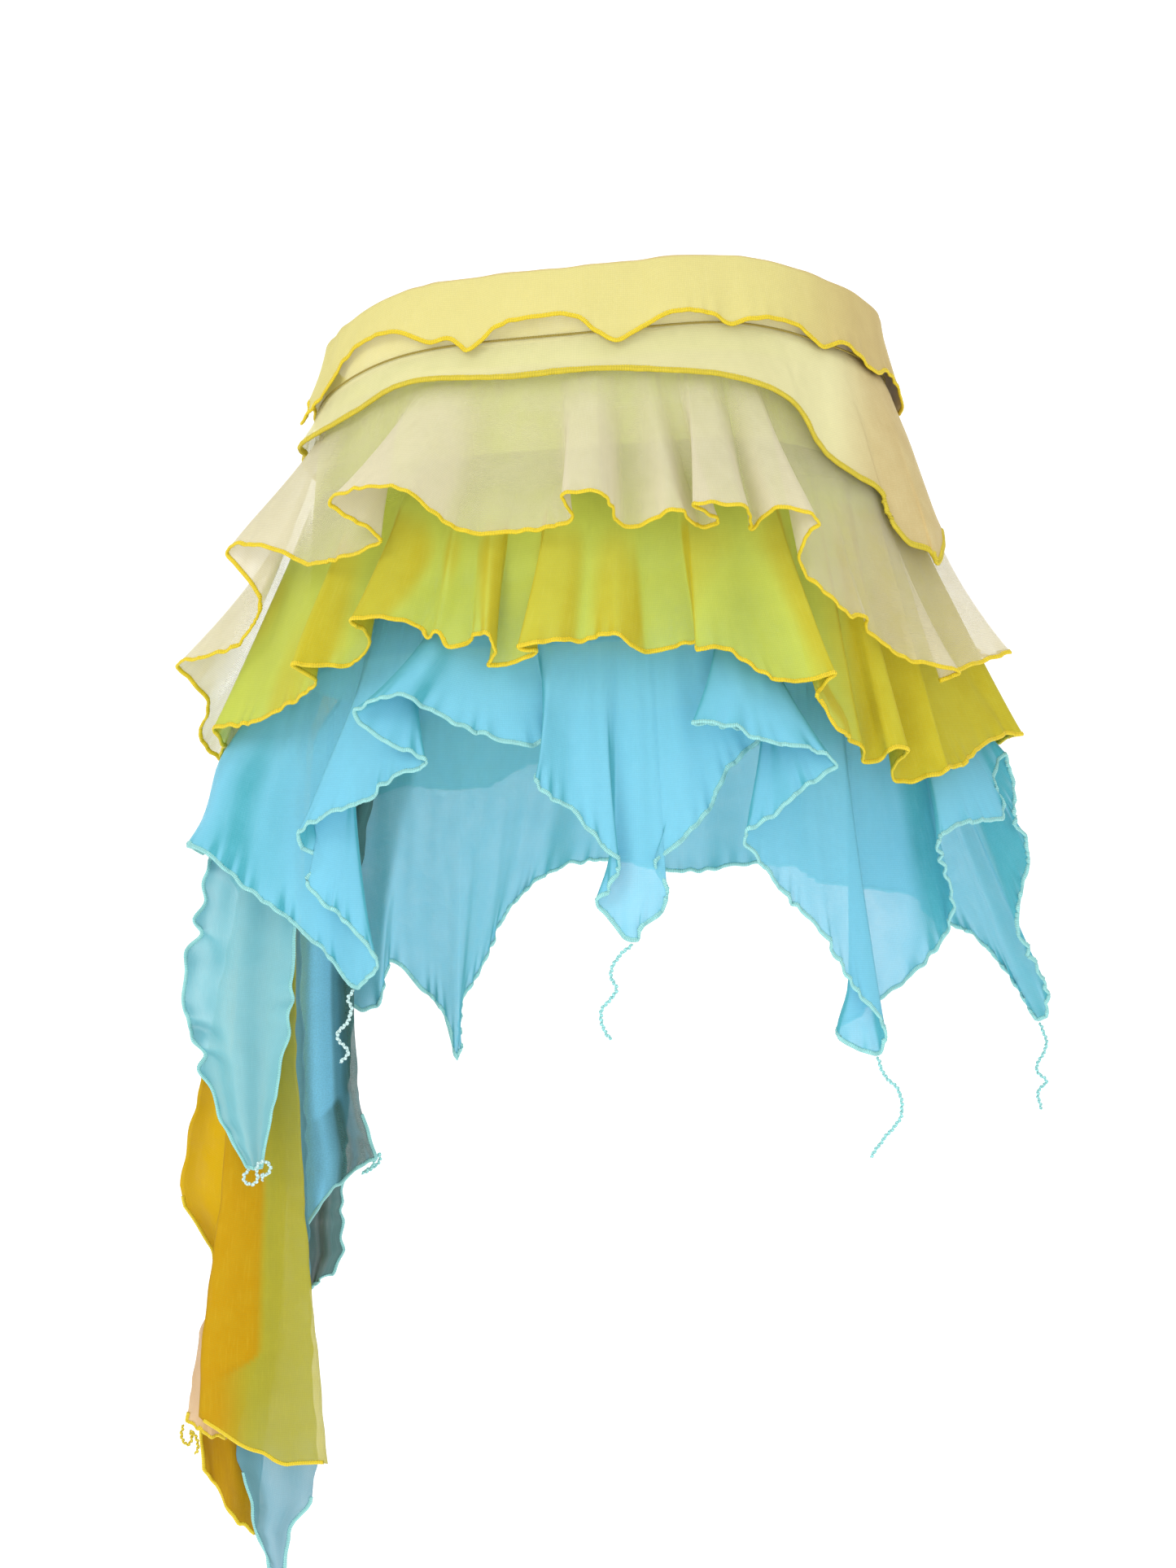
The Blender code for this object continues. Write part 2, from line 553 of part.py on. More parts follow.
def cloth_object(name, points, wrap, material, collection):
    """Grid of cells bent to the points, closed into a tube if it wraps, with even thickness."""
    rows = len(points) - 1
    columns = len(points[0]) - (0 if wrap else 1)
    mesh = bpy.data.meshes.new(name)
    sheet = bmesh.new()
    bmesh.ops.create_grid(sheet, x_segments=columns, y_segments=rows, size=1.0)
    for vertex in sheet.verts:
        column = round((vertex.co.x + 1.0) * 0.5 * columns)
        row = rows - round((vertex.co.y + 1.0) * 0.5 * rows)
        if wrap:
            column = column % columns
        vertex.co = points[row][column] * MILLIMETRE
    bmesh.ops.remove_doubles(sheet, verts=sheet.verts, dist=0.000001)
    bmesh.ops.triangulate(sheet, faces=sheet.faces, quad_method="SHORT_EDGE")
    for face in sheet.faces:
        face.smooth = True
    sheet.to_mesh(mesh)
    sheet.free()
    item = bpy.data.objects.new(name, mesh)
    collection.objects.link(item)
    mesh.materials.append(material)
    wall = item.modifiers.new("wall", "SOLIDIFY")
    wall.thickness = CLOTH * MILLIMETRE
    wall.offset = 0.0
    return item


def thread_points(thread):
    start = place(np.array((thread.bearing, thread.stand, thread.height), dtype=float))
    path = []
    for swing in thread.swings:
        path.append(start + np.array((swing.side, swing.front, -swing.drop)))
    return smooth_path(path, 3)


def thread_object(thread, material, collection):
    curve = bpy.data.curves.new(thread.name, "CURVE")
    curve.dimensions = "3D"
    curve.bevel_depth = THREAD_RADIUS * MILLIMETRE
    curve.bevel_resolution = 2
    curve.use_fill_caps = True
    points = thread_points(thread)
    spline = curve.splines.new("POLY")
    spline.points.add(len(points) - 1)
    for knot, point in zip(spline.points, points):
        knot.co = (*(point * MILLIMETRE), 1.0)
    item = bpy.data.objects.new(thread.name, curve)
    collection.objects.link(item)
    curve.materials.append(material)
    return item


def build_skins():
    """Every tube of cloth, from the base outward: each one clears the layers beneath it."""
    skins = {"base": tube_skin(BASE_TOP_LEVEL, BASE_BOTTOM_LEVEL, 72, 2)}
    cover = Cover()
    for panel in CASCADE:
        cover.add(unplace(panel_points(panel, PANEL_ROWS, PANEL_COLUMNS)), False)
    for name, folds, level, stand, rows, spread, flare, hang, turn, easing, reach in TIERS:
        skin = tier_skin(
            folds, level, stand, rows, LEAST_STEPS, LONGEST_STEP, spread, flare, hang, turn,
        )
        skins[name] = cover.lift(skin, easing, reach)
        cover.add(skins[name], True)
    band = band_skin(FLAP_FOLDS, LEAST_STEPS, LONGEST_STEP)
    band[4:] = cover.lift(band[3:], FLAP_EASING, 1)[1:]
    skins["band"] = band
    return skins


def build():
    clear_scene()
    collection = make_collection("ruffle_skirt")
    materials = {name: make_material(name, colour) for name, colour in COLOURS.items()}
    skins = build_skins()
    for key, name, colour in TUBES:
        cloth_object(name, place(skins[key]), True, materials[colour], collection)
    for panel in CASCADE:
        points = panel_points(panel, PANEL_ROWS, PANEL_COLUMNS)
        cloth_object(panel.name, points, False, materials[panel.material], collection)
    for thread in THREADS:
        thread_object(thread, materials["aqua"], collection)


build()
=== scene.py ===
"""Looks of a layered mini ruffle skirt: thin cloth shells, stitched edges, floor and soft light.

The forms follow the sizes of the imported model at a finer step, with the small gathers, creases and
curled edges added. The shown side is the back and faces -Y, +X is the wearer's right, +Z is up.
Bearings are in degrees round the waist: 0 at the shown side, positive toward +X.
Stand-off is the distance from the hip line of the base, and heights are from the waist opening.
The tables are in millimetres, and points are turned into metres when a mesh is made.
"""

import math
from collections import namedtuple
from functools import lru_cache

import bmesh
import bpy
import numpy as np
from bpy.props import FloatProperty, FloatVectorProperty, IntProperty, PointerProperty
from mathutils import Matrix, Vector


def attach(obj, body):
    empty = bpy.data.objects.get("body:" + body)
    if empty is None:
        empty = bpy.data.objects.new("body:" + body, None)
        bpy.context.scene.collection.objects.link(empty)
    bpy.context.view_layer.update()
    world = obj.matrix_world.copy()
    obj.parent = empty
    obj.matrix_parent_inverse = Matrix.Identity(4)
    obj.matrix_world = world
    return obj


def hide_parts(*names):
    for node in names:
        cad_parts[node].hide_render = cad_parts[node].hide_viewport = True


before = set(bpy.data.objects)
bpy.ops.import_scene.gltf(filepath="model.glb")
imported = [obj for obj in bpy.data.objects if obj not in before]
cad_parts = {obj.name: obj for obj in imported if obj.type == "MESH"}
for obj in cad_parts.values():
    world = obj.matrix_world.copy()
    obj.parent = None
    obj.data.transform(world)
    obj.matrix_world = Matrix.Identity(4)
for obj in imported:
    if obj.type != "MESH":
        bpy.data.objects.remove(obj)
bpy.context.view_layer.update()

bl_info = {
    "name": "Ruffle Skirt",
    "version": (1, 0, 0),
    "blender": (4, 5, 0),
    "location": "3D View > Sidebar > Skirt",
    "description": "Builds a layered mesh skirt with frills, a cascade and stitched edges",
    "category": "Add Mesh",
}

MILLIMETRE = 0.001
BODY = "root"

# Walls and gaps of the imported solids
SOLID_WALL = 1.2
SEAM_GAP = 0.5

# The waist is higher at the back and at the wearer's right, and a seam loses this share of that
# slope over this drop
BACK_RISE = 26.0
SIDE_RISE = 9.6
SLOPE_LOST = 0.4
SLOPE_DROP = 190.0

# Heights of the seams before the slope, and the stand-off of each layer at its seam
TOP_LEVEL = 0.0
BAND_LEVEL = -38.5
BASE_TOP_LEVEL = -39.3
BASE_BOTTOM_LEVEL = -198.0
YOKE_LEVEL = -36.5
CASCADE_LEVEL = -188.0
FLAP_STAND = 3.9
YOKE_STAND = 1.8
SEAM_STAND = SOLID_WALL + SEAM_GAP

# Least steps between two places of a hem, how much a degree counts as there in millimetres, the
# least share of an even gather, and how closely the rows crowd toward the hem
LEAST_STEPS = 4
DEGREE_LENGTH = 3.0
LEAST_GATHER = 0.3
ROW_CROWDING = 1.5

# Range of stand-offs that is halved to find the place of a point
STAND_RANGE = (-60.0, 400.0)
HALVINGS = 40

# Drop over which a hanging frill flares as its row says, and the least and most share of that
FLARE_DROP = 100.0
LEAST_SHARE = 0.85
MOST_SHARE = 1.3

# The band's rows on its inner wall, over its fold and down its flap, and how its flap swings out
INNER_ROWS = 8
FOLD_ROWS = 9
FLAP_ROWS = 14
FLAP_FLARE = 1.3
FLAP_EASING = 0.6

# The inner tube's columns and rows, and how far its top row reaches up and in behind the band
BASE_COLUMNS = 216
BASE_ROWS = 12
TUBE_OVERLAP = 2.5
TUBE_TUCK = -0.8

# How far a panel swings out while it follows the base, its rows and columns as a layer that the
# frills clear, and the steps within each of them and within each of a frill's
PANEL_SWING = 12.0
PANEL_LAYER = (9, 6)
PANEL_SAMPLES = (9, 7)
TIER_SAMPLES = (3, 2)

# Small waves of the cloth: how far apart gathers, creases and ripples are, where gathers are
# strongest, how far curls reach from the hem, and how much and how far apart they slide
GATHER_PITCH = 15.0
GATHER_DROP = 12.0
GATHER_SPREAD = 16.0
CREASE_PITCH = 62.0
CURL_REACH = 9.0
CURL_FALL = 1.5
CURL_SLIDE = 0.6
SLIDE_PITCH = 1.3
RIPPLE = 0.35
RIPPLE_PITCH = 4.6

# Folds and curls of a hanging panel: how they run down and across, the share of the drop over
# which they begin, and how much and how softly an edge calms where it goes smooth
PANEL_FOLD_DROP = 70.0
PANEL_FOLD_WIDTH = 11.0
PANEL_FOLD_START = 0.25
PANEL_CURL_REACH = 12.0
PANEL_SLIDE_PITCH = 1.2
PANEL_CALM = 0.85
SMOOTH_BLEND = 50.0

# Share across over which a panel's foot gives way from left to right, and its slant and softness
FOOT_SPLIT = (0.0, 0.62)
FOOT_SLANT = 27.0
FOOT_BLEND = 6.0

# Least share by which a face is taken to be turned outward, for cloth that goes round and panels
LEAST_FACING = 0.42
LEAST_PANEL_FACING = 0.8

# Depth over which a nudge fades between the shown side and the other one
SHOWN_BLEND = 12.0

# Sides and size of a stitched edge: how much narrower it is between stitches, how far it lies
# inside the cloth's edge, and how fine it is along a panel
EDGE_SIDES = 6
BETWEEN_STITCHES = 0.82
EDGE_INSET = 0.2
PANEL_EDGE = 0.8

# Seam line under the band: how far it stands off and above the overlay's seam, its step in
# degrees, and its size
SEAM_LINE_STAND = 0.8
SEAM_LINE_RISE = 0.5
SEAM_LINE_STEP = 0.5
SEAM_LINE_WIDTH = 1.3
SEAM_LINE_HEIGHT = 0.8

# Loose thread: its radius, its curl and pitch, its beads and how thin it ends
THREAD_RADIUS = 0.8
THREAD_SIDES = 8
CHAIN_STEP = 0.5
CHAIN_CURL = 0.6
CHAIN_PITCH = 3.1
BEAD = 2.3
BEAD_SWELL = 0.3
THREAD_TIP = 0.25
PATH_STEPS = 24

# Hip line of the base, from low to high: height, half width and half depth of the oval
HIPS = (
    (-160.0, 173.0, 106.0),
    (-110.0, 172.0, 106.0),
    (-60.0, 168.0, 103.0),
    (0.0, 159.0, 99.0),
    (40.0, 156.0, 96.0),
)

# A row is one low crest of the waist line, which the seams below it follow
Crest = namedtuple("Crest", "bearing rise sharpness")
CRESTS = (
    Crest(27.0, 6.5, 16.0),
    Crest(-44.0, 4.8, 13.0),
)

# A row is one fold of a hem: where it rises, crests, falls and dips before the next one.
# Each place is (bearing, stand-off, height). A bearing that goes back lies under the crest.
Fold = namedtuple("Fold", "rise crest fall dip")

FLAP_FOLDS = (
    Fold((-92, 6, -40), (-84, 9, -38), (-78, 9, -52), (-71, 6, -38)),
    Fold((-64, 5, -20), (-57, 5, -11), (-45, 7, -7), (-36, 5, -15)),
    Fold((-32, 6, -13), (-29, 6, -17), (-27, 5, -21), (-24, 6, -15)),
    Fold((-21, 7, -8), (-12, 8, -3), (-6, 7, -3), (-1, 5, -13)),
    Fold((2, 5, -17), (5, 5, -13), (9, 7, -6), (14, 8, 0)),
    Fold((21, 7, -1), (25, 5, -6), (30, 7, -2), (41, 5, -4)),
    Fold((47, 5, -15), (54, 7, -11), (60, 6, -17), (66, 6, -25)),
    Fold((75, 7, -22), (81, 9, -27), (86, 11, -37), (92, 10, -42)),
    Fold((100, 7, -38), (108, 7, -44), (116, 6, -52), (124, 8, -46)),
    Fold((133, 7, -50), (143, 6, -59), (153, 8, -52), (163, 7, -55)),
    Fold((172, 6, -64), (181, 8, -57), (191, 7, -58), (201, 6, -66)),
    Fold((211, 8, -56), (221, 7, -57), (231, 6, -62), (241, 8, -50)),
    Fold((250, 7, -48), (256, 6, -54), (261, 8, -46), (265, 7, -42)),
)

YOKE_FOLDS = (
    Fold((-90, 8, -71), (-74, 6, -68), (-60, 5, -58), (-48, 4, -44)),
    Fold((-37, 4, -37), (-19, 4, -37), (0, 4, -33), (12, 4, -34)),
    Fold((22, 4, -36), (32, 6, -44), (37, 8, -54), (39, 10, -66)),
    Fold((42, 12, -77), (49, 15, -88), (55.5, 18, -97), (56, 21, -115)),
    Fold((59, 27, -125), (64, 33, -129), (64, 37, -136), (70, 34, -126)),
    Fold((76, 29, -118), (89, 21, -112), (105, 14, -104), (125, 8, -98)),
    Fold((150, 6, -96), (180, 5, -96), (210, 5, -96), (240, 6, -88)),
)

TIER_1_FOLDS = (
    Fold((-106, 62, -250), (-99, 72, -234), (-93, 62, -215), (-89, 66, -205)),
    Fold((-87, 72, -198), (-84, 78, -192), (-77, 64, -188), (-72, 46, -180)),
    Fold((-69, 38, -156), (-73, 54, -128), (-62, 46, -127), (-54, 30, -138)),
    Fold((-36, 34, -129), (-41, 57, -108), (-29, 62, -102), (-22, 33, -124)),
    Fold((-5, 36, -119), (-6, 50, -108), (-1, 54, -106), (3, 31, -123)),
    Fold((7, 37, -119), (10, 46, -114), (13, 38, -121), (15, 31, -122)),
    Fold((17, 38, -120), (12, 52, -112), (19, 54, -113), (23, 33, -123)),
    Fold((25, 46, -112), (30, 57, -119), (29.5, 47, -129), (30.5, 36, -147)),
    Fold((34, 38, -160), (37, 37, -169), (41, 44, -170), (42, 38, -177)),
    Fold((45, 44, -184), (48, 42, -190), (57, 62, -199), (57.5, 50, -203)),
    Fold((62, 46, -199), (70, 54, -192), (78, 66, -185), (84, 52, -186)),
    Fold((92, 44, -186), (98, 54, -182), (106, 52, -184), (112, 32, -186)),
    Fold((120, 38, -184), (125, 54, -178), (133, 52, -180), (139, 32, -186)),
    Fold((147, 38, -184), (152, 54, -180), (160, 52, -182), (167, 32, -190)),
    Fold((175, 38, -190), (180, 54, -186), (188, 52, -190), (196, 32, -202)),
    Fold((204, 38, -204), (208, 56, -204), (216, 56, -210), (223, 36, -226)),
    Fold((231, 46, -232), (235, 64, -232), (241, 60, -244), (248, 48, -256)),
)

TIER_2_FOLDS = (
    Fold((-84, 50, -238), (-79, 57, -229), (-72, 44, -227), (-64, 38, -222)),
    Fold((-50, 37, -204), (-50, 54, -195), (-46, 38, -196), (-42, 30, -194)),
    Fold((-39, 33, -181), (-38, 51, -172), (-33, 44, -171), (-28.5, 30, -177)),
    Fold((-27, 34, -181), (-25.5, 38, -179), (-23.5, 31, -187), (-21.5, 30, -186)),
    Fold((-20, 35, -181), (-17.5, 42, -180), (-16.5, 36, -190), (-18, 30, -197)),
    Fold((-14, 31, -195), (-10, 37, -190), (-12.5, 45, -188), (-7, 42, -184)),
    Fold((-3.5, 33, -184), (1.5, 40, -181), (4, 37, -187), (6.5, 29, -190)),
    Fold((14, 31, -184), (13, 44, -189), (17, 43, -188), (24, 42, -204)),
    Fold((28, 47, -206), (32.5, 57.5, -202), (31, 44, -214), (33, 35, -232)),
    Fold((37, 39, -236), (41, 42, -241), (43, 36, -249), (45, 41, -248)),
    Fold((44, 52, -242), (46.5, 56, -242), (48.5, 44, -248), (51, 34, -259)),
    Fold((53, 38, -260), (56, 57, -253), (57.5, 44, -251), (60, 40, -252)),
    Fold((63, 43, -251), (71, 46, -241), (79, 56, -233), (84, 72, -232)),
    Fold((89, 58, -234), (94, 44, -238), (101, 54, -232), (109, 50, -234)),
    Fold((116, 32, -240), (124, 38, -236), (128, 54, -230), (136, 52, -232)),
    Fold((144, 32, -240), (152, 38, -236), (156, 54, -232), (164, 52, -236)),
    Fold((172, 32, -246), (180, 38, -244), (184, 54, -242), (192, 52, -248)),
    Fold((201, 32, -262), (209, 38, -264), (213, 56, -262), (221, 54, -270)),
    Fold((229, 42, -286), (238, 50, -290), (243, 62, -286), (250, 60, -290)),
    Fold((257, 44, -282), (263, 48, -264), (268, 54, -247), (272, 50, -240)),
)

TIER_3_FOLDS = (
    Fold((-104, 58, -316), (-96, 64, -304), (-88, 70, -298), (-78, 68, -297)),
    Fold((-74, 60, -304), (-70, 44, -321), (-63, 28, -338), (-54, 20, -357)),
    Fold((-48, 16, -375), (-41, 21, -360), (-47, 27, -336), (-54, 32, -320)),
    Fold((-57, 36, -305), (-55, 40, -293), (-47, 39, -278), (-39, 38, -271)),
    Fold((-33, 38, -257), (-27, 40, -250), (-32, 45, -240), (-37, 49, -228)),
    Fold((-37, 53, -222), (-30, 50, -213), (-27, 38, -221), (-20, 31, -233)),
    Fold((-12, 25, -240), (-7.5, 20.5, -237), (-9, 36.5, -251), (-9.5, 46, -262)),
    Fold((-5, 37, -275), (-1, 38, -292), (2, 38, -304), (1, 36, -318)),
    Fold((1, 31, -332), (4, 37, -346), (9, 34, -326), (9.5, 31, -309)),
    Fold((13, 29, -288), (17, 25, -273), (18.5, 23, -262), (21, 21.5, -250)),
    Fold((26, 21, -236), (12, 47, -228), (16, 52, -229), (22, 55, -238)),
    Fold((30, 57, -244), (33, 56, -251), (29, 51, -262), (24, 47, -279)),
    Fold((20, 44, -288), (23, 39, -302), (28, 37, -322), (35, 35, -343)),
    Fold((41, 34, -371), (48, 36, -398), (48.5, 29.5, -412), (44.5, 21, -403)),
    Fold((52, 13, -388), (64, 20, -371), (68, 35, -350), (64, 46, -330)),
    Fold((57, 50, -292), (65, 54, -283), (79, 63, -278), (82, 56, -256)),
    Fold((85, 62, -245), (87, 68, -262), (86, 68, -280), (89, 77, -300)),
    Fold((91, 72, -344), (94, 92, -387), (97, 90, -403), (100, 74, -375)),
    Fold((105, 58, -352), (113, 44, -342), (121, 52, -330), (130, 40, -326)),
    Fold((138, 30, -322), (146, 46, -314), (154, 44, -312), (162, 28, -316)),
    Fold((170, 30, -316), (177, 44, -310), (185, 40, -312), (192, 26, -322)),
    Fold((198, 30, -345), (202, 28, -374), (207, 24, -402), (208, 22, -436)),
    Fold((211, 24, -404), (216, 28, -386), (221, 30, -372), (226, 24, -402)),
    Fold((232, 34, -385), (238, 44, -362), (244, 52, -345), (250, 56, -330)),
)

# A row is one gathered tube of cloth, from the base outward: its level and stand-off at the seam,
# how far along it its gathers even out, how it flares, hangs and turns on the way down, and how
# softly it clears how many height steps of the layers beneath.
Tier = namedtuple("Tier", "name folds level stand spread flare hang turn easing reach")
TIERS = (
    Tier("tier_3", TIER_3_FOLDS, -166.0, SEAM_STAND, 110.0, 1.1, 0.0, 1.7, 1.5, 3),
    Tier("tier_2", TIER_2_FOLDS, -96.0, SEAM_STAND, 70.0, 1.1, 0.0, 1.2, 1.5, 3),
    Tier("tier_1", TIER_1_FOLDS, -50.0, SEAM_STAND, 70.0, 1.4, 1.0, 1.2, 1.5, 3),
    Tier("yoke", YOKE_FOLDS, YOKE_LEVEL, YOKE_STAND, 60.0, 1.0, 0.0, 1.0, 1.0, 1),
)

# A row is one level of a hanging panel: its two side edges in plan and how deep its folds are
Level = namedtuple("Level", "height left_x left_y right_x right_y depth")

# A row is one hanging panel: its cloth, the bearings where it is sewn on, its folds and its hem,
# which is its height at the left edge, at a third, at two thirds and at the right
Panel = namedtuple("Panel", "name material seam_from seam_to waves phase hem levels")
CASCADE = (
    Panel("cascade_petal", "aqua", -86, -72, 1.5, 0.10, (-486, -487, -487, -486), (
        Level(-240, -206, -14, -181, -12, 3.0),
        Level(-305, -231, -12, -181, -9, 8.5),
        Level(-346, -240, -12, -180, -8, 9.0),
        Level(-395, -247, -11, -184, -8, 9.0),
        Level(-422, -236, -10, -188, -8, 8.5),
        Level(-454, -227, -9, -194, -8, 6.8),
        Level(-486, -210, -8, -201, -8, 1.7),
    )),
    Panel("cascade_gold_front", "gold", -92, -88, 1.0, 0.60, (-636, -654, -667, -664), (
        Level(-240, -199, 5, -180, 4, 2.0),
        Level(-330, -214, 12, -182, 10, 5.1),
        Level(-420, -221, 13, -183, 12, 6.8),
        Level(-505, -227, 13, -178, 12, 6.8),
        Level(-541, -232, 13, -175, 12, 6.8),
        Level(-597, -239, 13, -170, 12, 8.5),
        Level(-667, -241, 13, -164, 12, 9.0),
    )),
    Panel("cascade_ivory", "ivory", -94, -99, 1.0, 0.20, (-644, -648, -652, -654), (
        Level(-240, -204, 17, -186, 16, 2.0),
        Level(-330, -214, 24, -190, 23, 5.1),
        Level(-480, -221, 25, -199, 24, 5.1),
        Level(-560, -229, 26, -208, 25, 5.1),
        Level(-590, -243, 26, -216, 25, 5.1),
        Level(-654, -252, 27, -226, 25, 5.1),
    )),
    Panel("cascade_aqua_tail", "aqua", -101, -107, 1.0, 0.30, (-735, -737, -737, -735), (
        Level(-240, -194, 29, -178, 28, 2.0),
        Level(-330, -208, 37, -184, 36, 5.1),
        Level(-500, -203, 38, -179, 36, 6.8),
        Level(-600, -206, 38, -176, 36, 8.5),
        Level(-654, -223, 38, -174, 36, 9.0),
        Level(-672, -221, 38, -173, 36, 9.0),
        Level(-697, -213, 38, -178, 36, 8.5),
        Level(-712, -210, 37, -190, 36, 5.1),
        Level(-737, -200, 36, -192, 36, 1.7),
    )),
    Panel("cascade_gold_back", "gold", -109, -115, 1.5, 0.00, (-678, -700, -712, -718), (
        Level(-240, -196, 42, -176, 41, 3.0),
        Level(-330, -222, 50, -184, 49, 6.8),
        Level(-434, -243, 51, -188, 50, 8.5),
        Level(-482, -254, 52, -190, 50, 8.5),
        Level(-505, -258, 52, -192, 50, 8.5),
        Level(-518, -255, 52, -193, 50, 8.5),
        Level(-545, -238, 52, -194, 50, 8.5),
        Level(-600, -238, 52, -198, 50, 8.5),
        Level(-652, -246, 52, -205, 50, 6.8),
        Level(-718, -240, 52, -211, 50, 3.4),
    )),
    Panel("cascade_aqua_side", "aqua", -117, -126, 1.5, 0.35, (-532, -516, -502, -490), (
        Level(-240, -178, 64, -150, 66, 4.0),
        Level(-300, -186, 64, -155, 68, 9.0),
        Level(-392, -190, 65, -153, 68, 9.0),
        Level(-454, -189, 65, -150, 68, 9.0),
        Level(-490, -186, 65, -140, 68, 6.8),
        Level(-532, -182, 65, -150, 68, 5.1),
    )),
    Panel("cascade_aqua_under", "aqua", -128, -136, 2.0, 0.20, (-584, -578, -572, -566), (
        Level(-240, -164, 82, -140, 84, 3.0),
        Level(-330, -180, 82, -152, 85, 6.8),
        Level(-480, -194, 82, -160, 85, 8.5),
        Level(-535, -196, 82, -163, 85, 8.5),
        Level(-552, -194, 82, -162, 85, 8.5),
        Level(-584, -190, 82, -180, 85, 5.1),
    )),
)

# A row is one thread tail: its colour, where it leaves a hem point and how it swings on the way
# down. Each swing is how far it is to +X, to +Y and down from there.
Thread = namedtuple("Thread", "name colour bearing stand height swings")
THREADS = (
    Thread("thread_tail_left", "pale", -48, 16, -375, (
        (0, 0, 0.9), (-3, -2, 6), (-1, -4, 12), (-4, -2, 20), (-9, 0, 25), (-8, 0, 30),
        (-3, 0, 36), (-8, 0, 42),
    )),
    Thread("thread_tail_middle", "aqua", 4, 38, -346, (
        (0, 0, 0.8), (-8, -1, 8), (-12, -1, 17), (-9, -1, 26), (-17, 0, 37), (-15, 0, 48),
        (-11, 0, 52),
    )),
    Thread("thread_tail_right", "aqua", 48.5, 29.5, -412, (
        (0, 0, 0.6), (4, 0, 11), (12, -1, 20), (13, -1, 34), (4, 0, 46), (-4, 0, 57),
    )),
    Thread("thread_tail_side", "aqua", 97, 90, -403, (
        (0, 0, 0.6), (4, 0, 14), (-2, 0, 28), (4, 0, 36), (-1, 0, 42), (1, 0, 53),
    )),
)

# A row is one small curl of thread at a corner: its start in x, y and height, and its swings
Knot = namedtuple("Knot", "name colour start swings")
KNOTS = (
    Knot("petal_curl", "pale", (-207, -14, -486), (
        (0, 0, 0), (-3, -2, 3), (-2.5, -3, 7.5), (2, -3, 8.5), (5, -3, 5), (4, -3, 0),
        (6, -3, -4), (10, -2, -4.5), (12, -2, -1), (10.5, -2, 3), (7, -2, 3.5), (8, -2, 7),
    )),
    Knot("side_curl", "aqua", (-147, 68, -499), (
        (0, 0, 0), (4.5, -1, -2.5), (7, -1, -7.5), (9.3, 0, -10.8), (9.6, 1, -7.5),
        (7.7, 2, -3.7), (3, 2, -0.5), (-2, 1, 2),
    )),
    Knot("ivory_curl", "olive", (-252, 27, -645), (
        (0, 0, 0), (-1, -1, 5), (0, -1, 10), (3, 0, 12), (5, 1, 8), (4, 1, 4), (7, 0, 7),
        (9, -1, 13), (7, -1, 18),
    )),
)

# A row moves the cloth near one spot of a hem on the shown side: the spot, the move, its reach
# along the hem, how far above the hem it is strongest and its spread up the cloth
Nudge = namedtuple("Nudge", "piece x height side drop reach above spread")
NUDGES = (
    Nudge("tier_3", 36, -303, -9, 0, 9, 0, 18),
    Nudge("tier_3", 1, -325, -6, 0, 9, 0, 18),
    Nudge("tier_3", 25, -340, -5, 0, 7, 0, 18),
    Nudge("tier_3", -175, -305, 16, -1, 9, 0, 18),
    Nudge("tier_3", 136, -399, -7, 0, 8, 0, 18),
    Nudge("tier_3", -240, -300, -9, 0, 40, 55, 28),
)

# The slower waves that make a wobble uneven: their count as a share of its own, their size and
# how their start follows its seed. Two bend it and one makes it swell.
Slow = namedtuple("Slow", "share size pace")
BENDS = (Slow(0.23, 1.6, 1.0), Slow(0.41, 0.9, 2.1))
SWELL = Slow(0.31, 0.35, 1.7)

